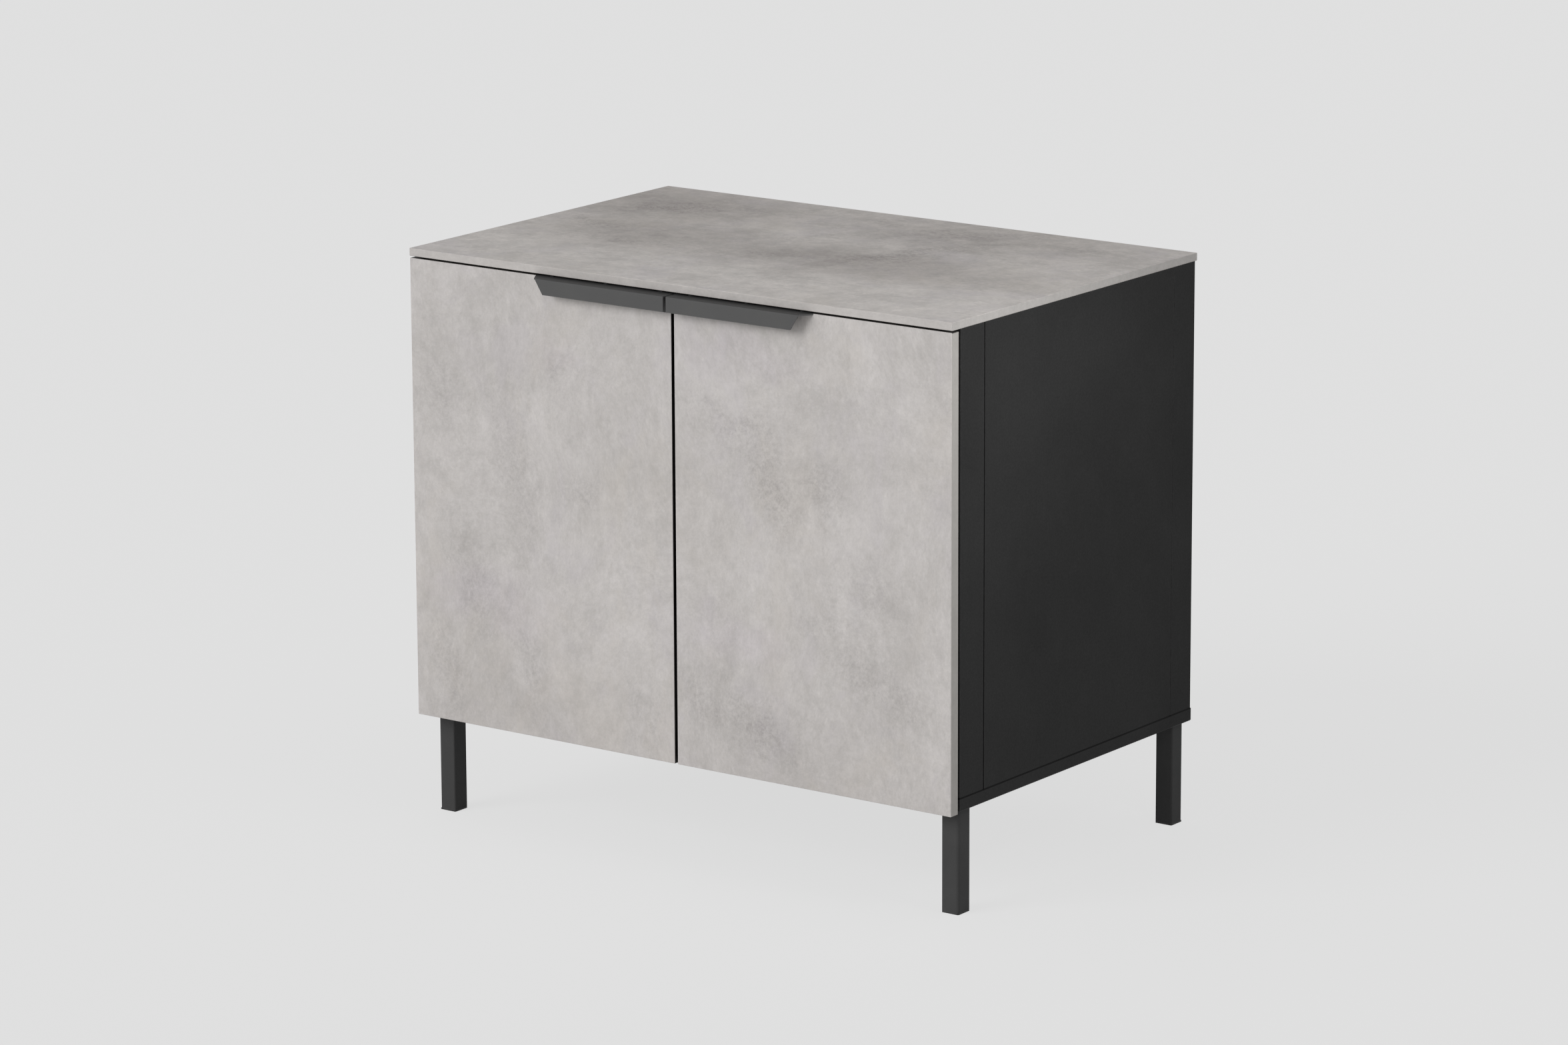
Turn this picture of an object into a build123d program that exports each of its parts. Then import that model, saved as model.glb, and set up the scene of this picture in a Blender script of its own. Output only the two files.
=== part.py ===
from build123d import *
import os

# A free-standing base cabinet with two doors, on four square legs.
# Sizes are in millimetres. X runs to the right, Y to the back and Z up. The origin is on the floor,
# halfway across the cabinet and halfway between the handles' fronts and the worktop's back edge.

# Overall
cabinet_width = 1000.0
carcass_height = 716.0
leg_height = 162.0

# Worktop
worktop_depth = 648.0
worktop_thickness = 12.0
worktop_arris = 0.6
worktop_back_overhang = 5.5
worktop_screw_radius = 2.0
worktop_screw_head_radius = 4.5
worktop_screw_head_height = 2.4
worktop_screw_bite = 8.0
worktop_screw_end_distance = 90.0

# Doors
door_thickness = 18.0
door_arris = 0.6
door_top_gap = 3.0
door_drop = 3.0
door_side_reveal = 1.0
door_centre_gap = 5.5
door_back_gap = 3.5
buffer_radius = 4.0
buffer_clearance = 0.3
buffer_edge_distance = 15.0

# Carcass boards
board_thickness = 20.0
front_post_width = 60.0
rear_post_width = 57.0
front_joint_gap = 1.2
rear_joint_gap = 0.4
joint_arris = 0.8
tongue_thickness = 6.0
tongue_depth = 8.0
tongue_clearance = 0.2
bottom_board_lip = 1.5
bottom_board_arris = 1.2
rail_depth = 100.0
back_thickness = 8.0
back_inset = 12.0
back_groove_depth = 8.0
back_groove_clearance = 0.2

# Carcass fixings
dowel_radius = 4.0
dowel_post_depth = 12.0
dowel_rail_depth = 18.0
dowel_edge_distance = 18.0
cam_radius = 7.5
cam_height = 13.5
cam_slot_length = 7.5
cam_slot_width = 1.5
cam_slot_depth = 3.2
cam_end_distance = 34.0
cam_forward_offset = 10.0
cam_bolt_radius = 3.0
cam_bolt_bite = 11.0
base_screw_radius = 3.5
base_screw_bite = 30.0
base_screw_head_radius = 5.0
base_screw_head_height = 4.0
back_screw_radius = 1.75
back_screw_head_radius = 3.5
back_screw_head_height = 1.8
back_screw_bite = 16.0
back_screw_end_distance = 60.0

# Shelf
shelf_thickness = 18.0
shelf_front_setback = 25.0
shelf_end_clearance = 0.5
shelf_back_clearance = 2.0
pin_radius = 2.5
pin_hole_depth = 12.0
pin_reach = 9.0
pin_collar_radius = 4.0
pin_collar_thickness = 1.5
pin_hole_setback = 37.0
pin_hole_pitch = 32.0
pin_hole_count = 7

# Legs
leg_size = 30.0
leg_wall = 1.5
leg_corner_radius = 2.5
leg_side_inset = 12.0
leg_front_inset = 14.0
leg_back_inset = 1.5
leg_plate_size = 70.0
leg_plate_thickness = 3.0
leg_plate_corner_radius = 5.0
leg_screw_edge_distance = 10.0
leg_screw_radius = 2.25
leg_screw_head_radius = 4.5
leg_screw_head_height = 2.4
leg_screw_bite = 14.0
cap_flange = 2.0
cap_plug_height = 12.0
cap_clearance = 0.1

# Handles: bent sheet, a flange let into the door's top edge and a flap hanging in front of the door
handle_projection = 19.5
handle_height = 24.0
handle_sheet = 2.0
handle_bend_radius = 1.5
handle_length = 253.0
handle_slant = 27.5
handle_inner_radius = 3.0
handle_outer_radius = 1.0
handle_seat_depth = 14.0
handle_seat_clearance = 0.2
handle_screw_radius = 1.75
handle_screw_head_radius = 3.5
handle_screw_length = 18.0
handle_screw_end_distance = 25.0

# Concealed hinges: a cup in the door's back, turning on one pin in the end of a fixed arm
hinge_end_distance = 100.0
cup_radius = 17.5
cup_depth = 13.0
cup_wall = 0.8
cup_edge_distance = 3.0
cup_clearance = 0.1
cup_flange_radius = 19.0
cup_flange_thickness = 1.2
cup_wing_width = 14.0
cup_wing_length = 57.0
cup_wing_offset = 9.5
cup_wing_corner_radius = 5.0
cup_screw_spacing = 45.0
cup_screw_radius = 1.75
cup_screw_head_radius = 3.5
cup_screw_head_height = 1.4
cup_screw_bite = 10.0
ear_gap = 8.6
ear_width = 3.0
ear_length = 4.4
hinge_pin_radius = 1.5
hinge_pin_clearance = 0.05
hinge_pin_edge_distance = 8.0
hinge_pin_back_distance = 9.2
hinge_eye_radius = 2.5
arm_thickness = 1.8
arm_neck_width = 8.0
arm_bend_radius = 2.6
arm_length = 60.0
arm_channel_start = 12.0
arm_channel_depth = 4.5
arm_channel_wall = 1.2
arm_channel_clearance = 0.2
plate_rib_width = 12.0
plate_rib_height = 7.0
plate_rib_start = 8.0
plate_rib_end = 62.0
plate_wing_thickness = 2.0
plate_wing_width = 14.0
plate_wing_length = 54.0
plate_wing_corner_radius = 5.0
plate_setback = 37.0
plate_screw_spacing = 32.0
plate_screw_radius = 2.5
plate_screw_head_radius = 4.0
plate_screw_head_height = 1.5
plate_screw_bite = 12.0
arm_screw_radius = 2.0
arm_screw_head_radius = 3.5
arm_screw_head_height = 1.6
arm_screw_bite = 5.0

# The square recess of every screw, as shares of its head's radius and height
recess_radius_share = 0.5
recess_depth_share = 0.6

# Heights
top_z = leg_height + carcass_height
floor_z = leg_height + board_thickness
rail_z = top_z - board_thickness
side_height = top_z - floor_z
door_top_z = top_z - door_top_gap
door_bottom_z = leg_height - door_drop

# Distances from the middle
outer_x = cabinet_width / 2
inner_x = outer_x - board_thickness
middle_x = (inner_x + outer_x) / 2
door_outer_x = outer_x - door_side_reveal
door_inner_x = door_centre_gap / 2

# Depths, from front to back
overall_depth = handle_projection + worktop_depth
handle_front_y = -overall_depth / 2
front_y = handle_front_y + handle_projection
door_back_y = front_y + door_thickness
carcass_front_y = door_back_y + door_back_gap
worktop_back_y = front_y + worktop_depth
carcass_back_y = worktop_back_y - worktop_back_overhang
back_outer_y = carcass_back_y - back_inset
back_inner_y = back_outer_y - back_thickness
front_joint_y = carcass_front_y + front_post_width
rear_joint_y = carcass_back_y - rear_post_width

sides = {"left": -1, "right": 1}


def level(z):
    """The horizontal plane at a height. Its sketch coordinates are X and Y, and its normal is up."""
    return Plane.XY.offset(z)


def upright(y):
    """The plane across the cabinet at a depth. Its coordinates are X and Z, and its normal is forward."""
    return Plane.XZ.offset(-y)


def sideways(x):
    """The plane along the cabinet's side. Its coordinates are Y and Z, and its normal is to the right."""
    return Plane.YZ.offset(x)


def area(low_u, high_u, low_v, high_v, mode=Mode.ADD):
    """A rectangle in the sketch at hand, given by its edges."""
    with Locations(((low_u + high_u) / 2, (low_v + high_v) / 2)):
        Rectangle(abs(high_u - low_u), abs(high_v - low_v), mode=mode)


def rods(plane, points, radius, length, mode=Mode.ADD):
    """Round bars that start on the plane and run along its normal, or against it if length is negative."""
    with BuildSketch(plane) as ends:
        with Locations(*points):
            Circle(radius)
    extrude(ends.sketch, amount=length, mode=mode)


def drill(plane, points, radius, depth):
    """Round holes that start on the plane."""
    rods(plane, points, radius, depth, mode=Mode.SUBTRACT)


def pan_screws(plane, points, drive, head_radius, head_height, shank_radius, length):
    """Screws whose heads rest on the plane. Drive is 1 for shanks along its normal and -1 against it."""
    rods(plane, points, shank_radius, drive * length)
    rods(plane, points, head_radius, -drive * head_height)
    head_top = plane.offset(-drive * head_height)
    with BuildSketch(head_top) as recesses:
        with Locations(*points):
            RegularPolygon(head_radius * recess_radius_share, 4)
    extrude(recesses.sketch, amount=drive * head_height * recess_depth_share, mode=Mode.SUBTRACT)


def low_corners(sketch, side):
    """The sketch's two lowest corners, the one away from the middle first."""
    return sketch.vertices().group_by(Axis.Y)[0].sort_by(Axis.X, reverse=side > 0)


def across(low, high, count):
    """Evenly spaced places from low to high."""
    return [low + (high - low) * step / (count - 1) for step in range(count)]


def save(part, name):
    """Label a finished piece and write it to its own file."""
    part.label = name
    export_step(part, f"parts/{name}.step")


os.makedirs("parts", exist_ok=True)

# Fixing places that two pieces share
front_rail_y = carcass_front_y + rail_depth / 2
rear_rail_y = back_inner_y - rail_depth / 2
worktop_screw_end_x = inner_x - worktop_screw_end_distance
worktop_screw_xs = across(-worktop_screw_end_x, worktop_screw_end_x, 3)
worktop_screw_points = [(x, y) for x in worktop_screw_xs for y in (front_rail_y, rear_rail_y)]
base_screw_ys = [
    carcass_front_y + front_post_width / 2,
    front_joint_y + (rear_joint_y - front_joint_y) / 4,
    rear_joint_y - (rear_joint_y - front_joint_y) / 4,
    carcass_back_y - rear_post_width / 2,
]
base_screw_points = [(side * middle_x, y) for side in sides.values() for y in base_screw_ys]
rail_middle_z = (rail_z + top_z) / 2
dowel_ys = [
    rail_y + end * (rail_depth / 2 - dowel_edge_distance)
    for rail_y in (front_rail_y, rear_rail_y)
    for end in (-1, 1)
]
dowel_points = [(y, rail_middle_z) for y in dowel_ys]
cam_ys = [front_rail_y - cam_forward_offset, rear_rail_y - cam_forward_offset]
cam_bolt_points = [(y, rail_middle_z) for y in cam_ys]
cam_x = inner_x - cam_end_distance
cam_points = [(side * cam_x, y) for side in sides.values() for y in cam_ys]
back_screw_end_x = inner_x - back_screw_end_distance
back_screw_points = [(x, rail_middle_z) for x in across(-back_screw_end_x, back_screw_end_x, 4)]

# Shelf pin holes and the pins' own places
pin_z = (floor_z + rail_z) / 2
front_pin_y = carcass_front_y + pin_hole_setback
rear_pin_y = carcass_back_y - pin_hole_setback
row_reach = pin_hole_pitch * (pin_hole_count - 1) / 2
pin_row_zs = across(pin_z - row_reach, pin_z + row_reach, pin_hole_count)
pin_points = [(front_pin_y, pin_z), (rear_pin_y, pin_z)]

# Hinge places
hinge_zs = {"upper": door_top_z - hinge_end_distance, "lower": door_bottom_z + hinge_end_distance}
hinge_pin_x = door_outer_x - hinge_pin_edge_distance
hinge_pin_y = door_back_y - hinge_pin_back_distance
cup_x = door_outer_x - cup_edge_distance - cup_radius
cup_wing_x = cup_x - cup_wing_offset
cup_face_y = door_back_y + cup_flange_thickness
plate_y = carcass_front_y + plate_setback
plate_face_x = inner_x - plate_rib_height
arm_face_x = plate_face_x - arm_thickness
arm_back_y = carcass_front_y + arm_length
arm_screw_y = (plate_y + carcass_front_y + plate_rib_end) / 2
plate_screw_points = [
    (plate_y, z + end * plate_screw_spacing / 2) for z in hinge_zs.values() for end in (-1, 1)
]
arm_screw_points = [(arm_screw_y, z) for z in hinge_zs.values()]

# Worktop
with BuildPart() as worktop:
    with BuildSketch(level(top_z)):
        area(-outer_x, outer_x, front_y, worktop_back_y)
    extrude(amount=worktop_thickness)
    chamfer(worktop.edges(), worktop_arris)
    drill(level(top_z), worktop_screw_points, worktop_screw_radius, worktop_screw_bite)
save(worktop.part, "worktop")

# Legs: a square tube under the outer corner of a flat plate
leg_outer_x = outer_x - leg_side_inset
tube_hole = leg_size - 2 * leg_wall
tube_hole_radius = max(leg_corner_radius - leg_wall, 0.2)
plug_size = tube_hole - 2 * cap_clearance
leg_rows = {"front": (carcass_front_y + leg_front_inset, 1), "rear": (carcass_back_y - leg_back_inset, -1)}
leg_screw_points = []
for row, (leg_outer_y, inward) in leg_rows.items():
    for name, side in sides.items():
        tube_centre = (side * (leg_outer_x - leg_size / 2), leg_outer_y + inward * leg_size / 2)
        plate_inner_x = leg_outer_x - leg_plate_size
        plate_inner_y = leg_outer_y + inward * leg_plate_size
        near_x = side * (leg_outer_x - leg_screw_edge_distance)
        far_x = side * (plate_inner_x + leg_screw_edge_distance)
        near_y = leg_outer_y + inward * leg_screw_edge_distance
        far_y = plate_inner_y - inward * leg_screw_edge_distance
        plate_screw_places = [(far_x, near_y), (far_x, far_y), (near_x, far_y)]
        leg_screw_points.extend(plate_screw_places)
        with BuildPart() as leg:
            with BuildSketch(level(cap_flange)):
                with Locations(tube_centre):
                    RectangleRounded(leg_size, leg_size, leg_corner_radius)
                    RectangleRounded(tube_hole, tube_hole, tube_hole_radius, mode=Mode.SUBTRACT)
            extrude(amount=leg_height - leg_plate_thickness - cap_flange)
            with BuildSketch(level(leg_height)):
                area(side * plate_inner_x, side * leg_outer_x, leg_outer_y, plate_inner_y)
            extrude(amount=-leg_plate_thickness)
            plate_edges = leg.edges().filter_by(Axis.Z).group_by(Axis.Z)[-1]
            fillet(plate_edges, leg_plate_corner_radius)
            drill(level(leg_height), plate_screw_places, leg_screw_radius, -leg_plate_thickness)
        save(leg.part, f"{row}_{name}_leg")
        with BuildPart() as leg_cap:
            with BuildSketch(level(0)):
                with Locations(tube_centre):
                    RectangleRounded(leg_size, leg_size, leg_corner_radius)
            extrude(amount=cap_flange)
            with BuildSketch(level(cap_flange)):
                with Locations(tube_centre):
                    RectangleRounded(plug_size, plug_size, tube_hole_radius)
            extrude(amount=cap_plug_height)
        save(leg_cap.part, f"{row}_{name}_leg_cap")

with BuildPart() as leg_screws:
    plate_underside = level(leg_height - leg_plate_thickness)
    leg_screw_length = leg_plate_thickness + leg_screw_bite
    pan_screws(
        plate_underside, leg_screw_points, 1,
        leg_screw_head_radius, leg_screw_head_height, leg_screw_radius, leg_screw_length,
    )
save(leg_screws.part, "leg_screws")

# Bottom board, under both sides
with BuildPart() as bottom_board:
    with BuildSketch(level(leg_height)):
        area(-outer_x, outer_x, carcass_front_y, carcass_back_y + bottom_board_lip)
    extrude(amount=board_thickness)
    chamfer(bottom_board.edges().group_by(Axis.Z)[0], bottom_board_arris)
    drill(level(leg_height), leg_screw_points, leg_screw_radius, leg_screw_bite)
    drill(level(leg_height), base_screw_points, base_screw_radius, board_thickness)
    drill(level(leg_height), base_screw_points, base_screw_head_radius, base_screw_head_height)
save(bottom_board.part, "bottom_board")

with BuildPart() as base_screws:
    head_seat = level(leg_height + base_screw_head_height)
    base_screw_length = board_thickness - base_screw_head_height + base_screw_bite
    pan_screws(
        head_seat, base_screw_points, 1,
        base_screw_head_radius, base_screw_head_height, base_screw_radius, base_screw_length,
    )
save(base_screws.part, "base_screws")

# Sides: a front post, a panel tongued into both posts, and a rear post
groove_half = tongue_thickness / 2 + tongue_clearance
groove_depth = tongue_depth + tongue_clearance
panel_front_y = front_joint_y + front_joint_gap
panel_back_y = rear_joint_y - rear_joint_gap
for name, side in sides.items():
    outward = Axis((0, 0, 0), (side, 0, 0))
    inner_face = sideways(side * inner_x)
    groove_xs = (side * (middle_x - groove_half), side * (middle_x + groove_half))
    tongue_xs = (side * (middle_x - tongue_thickness / 2), side * (middle_x + tongue_thickness / 2))
    with BuildPart() as front_post:
        with BuildSketch(level(floor_z)):
            area(side * inner_x, side * outer_x, carcass_front_y, front_joint_y)
            area(*groove_xs, panel_front_y - groove_depth, front_joint_y, mode=Mode.SUBTRACT)
        extrude(amount=side_height)
        chamfer(front_post.faces().sort_by(outward)[-1].edges().filter_by(Axis.Z), joint_arris)
        front_holes = [(front_pin_y, z) for z in pin_row_zs]
        drill(inner_face, front_holes, pin_radius, side * pin_hole_depth)
        drill(inner_face, plate_screw_points, plate_screw_radius, side * plate_screw_bite)
        drill(inner_face, dowel_points, dowel_radius, side * dowel_post_depth)
        drill(inner_face, cam_bolt_points, cam_bolt_radius, side * cam_bolt_bite)
        drill(level(floor_z), base_screw_points, base_screw_radius, base_screw_bite)
    save(front_post.part, f"{name}_front_post")
    with BuildPart() as side_panel:
        with BuildSketch(level(floor_z)):
            area(side * inner_x, side * outer_x, panel_front_y, panel_back_y)
            area(*tongue_xs, panel_front_y - tongue_depth, panel_back_y + tongue_depth)
        extrude(amount=side_height)
        chamfer(side_panel.faces().sort_by(outward)[-1].edges().filter_by(Axis.Z), joint_arris)
        drill(inner_face, dowel_points, dowel_radius, side * dowel_post_depth)
        drill(inner_face, cam_bolt_points, cam_bolt_radius, side * cam_bolt_bite)
        drill(level(floor_z), base_screw_points, base_screw_radius, base_screw_bite)
    save(side_panel.part, f"{name}_side_panel")
    with BuildPart() as rear_post:
        with BuildSketch(level(floor_z)):
            area(side * inner_x, side * outer_x, rear_joint_y, carcass_back_y)
            area(*groove_xs, rear_joint_y, panel_back_y + groove_depth, mode=Mode.SUBTRACT)
            area(
                side * inner_x, side * (inner_x + back_groove_depth),
                back_inner_y - back_groove_clearance, back_outer_y + back_groove_clearance,
                mode=Mode.SUBTRACT,
            )
        extrude(amount=side_height)
        chamfer(rear_post.faces().sort_by(outward)[-1].edges().filter_by(Axis.Z), joint_arris)
        rear_holes = [(rear_pin_y, z) for z in pin_row_zs]
        drill(inner_face, rear_holes, pin_radius, side * pin_hole_depth)
        drill(inner_face, dowel_points, dowel_radius, side * dowel_post_depth)
        drill(inner_face, cam_bolt_points, cam_bolt_radius, side * cam_bolt_bite)
        drill(level(floor_z), base_screw_points, base_screw_radius, base_screw_bite)
    save(rear_post.part, f"{name}_rear_post")

# Back panel, in grooves of the rear posts
back_panel_x = inner_x + back_groove_depth - back_groove_clearance
with BuildPart() as back_panel:
    with BuildSketch(upright(back_outer_y)):
        area(-back_panel_x, back_panel_x, floor_z, top_z)
    extrude(amount=back_thickness)
    drill(upright(back_outer_y), back_screw_points, back_screw_radius, back_thickness)
save(back_panel.part, "back_panel")

with BuildPart() as back_screws:
    back_screw_length = back_thickness + back_screw_bite
    pan_screws(
        upright(back_outer_y), back_screw_points, 1,
        back_screw_head_radius, back_screw_head_height, back_screw_radius, back_screw_length,
    )
save(back_screws.part, "back_screws")

# Rails under the worktop, with their dowels, cam bolts and cams
for name, rail_y in {"front_rail": front_rail_y, "rear_rail": rear_rail_y}.items():
    with BuildPart() as rail:
        with BuildSketch(level(rail_z)):
            area(-inner_x, inner_x, rail_y - rail_depth / 2, rail_y + rail_depth / 2)
        extrude(amount=board_thickness)
        drill(level(rail_z), worktop_screw_points, worktop_screw_radius, board_thickness)
        drill(level(rail_z), cam_points, cam_radius, cam_height)
        for side in sides.values():
            drill(sideways(side * inner_x), dowel_points, dowel_radius, -side * dowel_rail_depth)
            drill(sideways(side * inner_x), cam_bolt_points, cam_bolt_radius, -side * cam_end_distance)
        drill(upright(back_inner_y), back_screw_points, back_screw_radius, back_screw_bite)
    save(rail.part, name)

with BuildPart() as rail_dowels:
    for side in sides.values():
        deep_end = sideways(side * (inner_x + dowel_post_depth))
        rods(deep_end, dowel_points, dowel_radius, -side * (dowel_post_depth + dowel_rail_depth))
save(rail_dowels.part, "rail_dowels")

with BuildPart() as cam_bolts:
    for side in sides.values():
        deep_end = sideways(side * (inner_x + cam_bolt_bite))
        cam_bolt_length = cam_bolt_bite + cam_end_distance - cam_radius
        rods(deep_end, cam_bolt_points, cam_bolt_radius, -side * cam_bolt_length)
save(cam_bolts.part, "cam_bolts")

with BuildPart() as cam_locks:
    rods(level(rail_z), cam_points, cam_radius, cam_height)
    with BuildSketch(level(rail_z)):
        with Locations(*cam_points):
            Rectangle(cam_slot_length, cam_slot_width)
            Rectangle(cam_slot_width, cam_slot_length)
    extrude(amount=cam_slot_depth, mode=Mode.SUBTRACT)
save(cam_locks.part, "cam_locks")

with BuildPart() as worktop_screws:
    worktop_screw_length = board_thickness + worktop_screw_bite
    pan_screws(
        level(rail_z), worktop_screw_points, 1,
        worktop_screw_head_radius, worktop_screw_head_height, worktop_screw_radius, worktop_screw_length,
    )
save(worktop_screws.part, "worktop_screws")

# Shelf on four pins
shelf_x = inner_x - pin_collar_thickness - shelf_end_clearance
with BuildPart() as shelf:
    with BuildSketch(level(pin_z + pin_radius)):
        area(-shelf_x, shelf_x, carcass_front_y + shelf_front_setback, back_inner_y - shelf_back_clearance)
    extrude(amount=shelf_thickness)
    chamfer(shelf.faces().sort_by(Axis.Y)[0].edges().filter_by(Axis.X), joint_arris)
save(shelf.part, "shelf")

with BuildPart() as shelf_pins:
    for side in sides.values():
        hole_end = sideways(side * (inner_x + pin_hole_depth))
        rods(hole_end, pin_points, pin_radius, -side * (pin_hole_depth + pin_reach))
        rods(sideways(side * inner_x), pin_points, pin_collar_radius, -side * pin_collar_thickness)
save(shelf_pins.part, "shelf_pins")

# Doors, handles and buffers
handle_inner_x = door_inner_x
handle_outer_x = handle_inner_x + handle_length
handle_fold_x = handle_outer_x - handle_slant * handle_projection / (handle_projection + handle_height)
handle_low_x = handle_outer_x - handle_slant
handle_back_y = front_y + handle_seat_depth
handle_low_z = door_top_z - handle_height
handle_screw_y = front_y + handle_seat_depth / 2
handle_screw_xs = across(
    handle_inner_x + handle_screw_end_distance, handle_outer_x - handle_screw_end_distance, 3
)
handle_head_height = handle_screw_head_radius - handle_screw_radius
buffer_x = door_inner_x + buffer_edge_distance
buffer_zs = (leg_height + board_thickness / 2, (rail_z + door_top_z) / 2)
for name, side in sides.items():
    seat_floor = level(door_top_z - handle_sheet)
    handle_screw_points = [(side * x, handle_screw_y) for x in handle_screw_xs]
    cup_points = [(side * cup_x, z) for z in hinge_zs.values()]
    cup_screw_points = [
        (side * cup_wing_x, z + end * cup_screw_spacing / 2) for z in hinge_zs.values() for end in (-1, 1)
    ]
    with BuildPart() as door:
        with BuildSketch(upright(door_back_y)):
            area(side * door_inner_x, side * door_outer_x, door_bottom_z, door_top_z)
        extrude(amount=door_thickness)
        chamfer(door.edges(), door_arris)
        with BuildSketch(level(door_top_z)):
            area(
                side * (handle_inner_x - handle_seat_clearance),
                side * (handle_outer_x + handle_seat_clearance),
                front_y - handle_seat_clearance, handle_back_y + handle_seat_clearance,
            )
        extrude(amount=-handle_sheet, mode=Mode.SUBTRACT)
        drill(seat_floor, handle_screw_points, handle_screw_radius, handle_sheet - handle_screw_length)
        drill(upright(door_back_y), cup_points, cup_radius + cup_clearance, cup_depth)
        drill(upright(door_back_y), cup_screw_points, cup_screw_radius, cup_screw_bite)
    save(door.part, f"{name}_door")

    with BuildPart() as handle:
        with BuildSketch(level(door_top_z)):
            with BuildLine():
                Polyline(
                    (side * handle_inner_x, handle_front_y),
                    (side * handle_fold_x, handle_front_y),
                    (side * handle_outer_x, front_y),
                    (side * handle_outer_x, handle_back_y),
                    (side * handle_inner_x, handle_back_y),
                    close=True,
                )
            make_face()
        extrude(amount=-handle_sheet)
        with BuildSketch(upright(handle_front_y)) as flap:
            with BuildLine():
                Polyline(
                    (side * handle_inner_x, door_top_z),
                    (side * handle_fold_x, door_top_z),
                    (side * handle_low_x, handle_low_z),
                    (side * handle_inner_x, handle_low_z),
                    close=True,
                )
            make_face()
            outer_corner, inner_corner = low_corners(flap, side)
            fillet(outer_corner, handle_outer_radius)
            fillet(inner_corner, handle_inner_radius)
        extrude(amount=-handle_sheet)
        fold = handle.edges().filter_by(Axis.X).group_by(Axis.Y)[0].sort_by(Axis.Z)[-1]
        fillet(fold, handle_bend_radius)
        with Locations(*[(x, y, door_top_z) for x, y in handle_screw_points]):
            CounterSinkHole(
                handle_screw_radius, handle_screw_head_radius, depth=handle_sheet, counter_sink_angle=90
            )
    save(handle.part, f"{name}_handle")

    with BuildPart() as handle_screws:
        rods(level(door_top_z), handle_screw_points, handle_screw_radius, -handle_screw_length)
        with Locations(*[(x, y, door_top_z) for x, y in handle_screw_points]):
            Cone(
                handle_screw_radius, handle_screw_head_radius, handle_head_height,
                align=(Align.CENTER, Align.CENTER, Align.MAX),
            )
        with BuildSketch(level(door_top_z)):
            with Locations(*handle_screw_points):
                RegularPolygon(handle_screw_head_radius * recess_radius_share, 4)
        extrude(amount=-handle_head_height * recess_depth_share, mode=Mode.SUBTRACT)
    save(handle_screws.part, f"{name}_handle_screws")

    with BuildPart() as door_buffers:
        buffer_points = [(side * buffer_x, z) for z in buffer_zs]
        rods(upright(door_back_y), buffer_points, buffer_radius, buffer_clearance - door_back_gap)
    save(door_buffers.part, f"{name}_door_buffers")

    with BuildPart() as cup_screws:
        pan_screws(
            upright(cup_face_y), cup_screw_points, 1,
            cup_screw_head_radius, cup_screw_head_height,
            cup_screw_radius, cup_flange_thickness + cup_screw_bite,
        )
    save(cup_screws.part, f"{name}_cup_screws")

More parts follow.
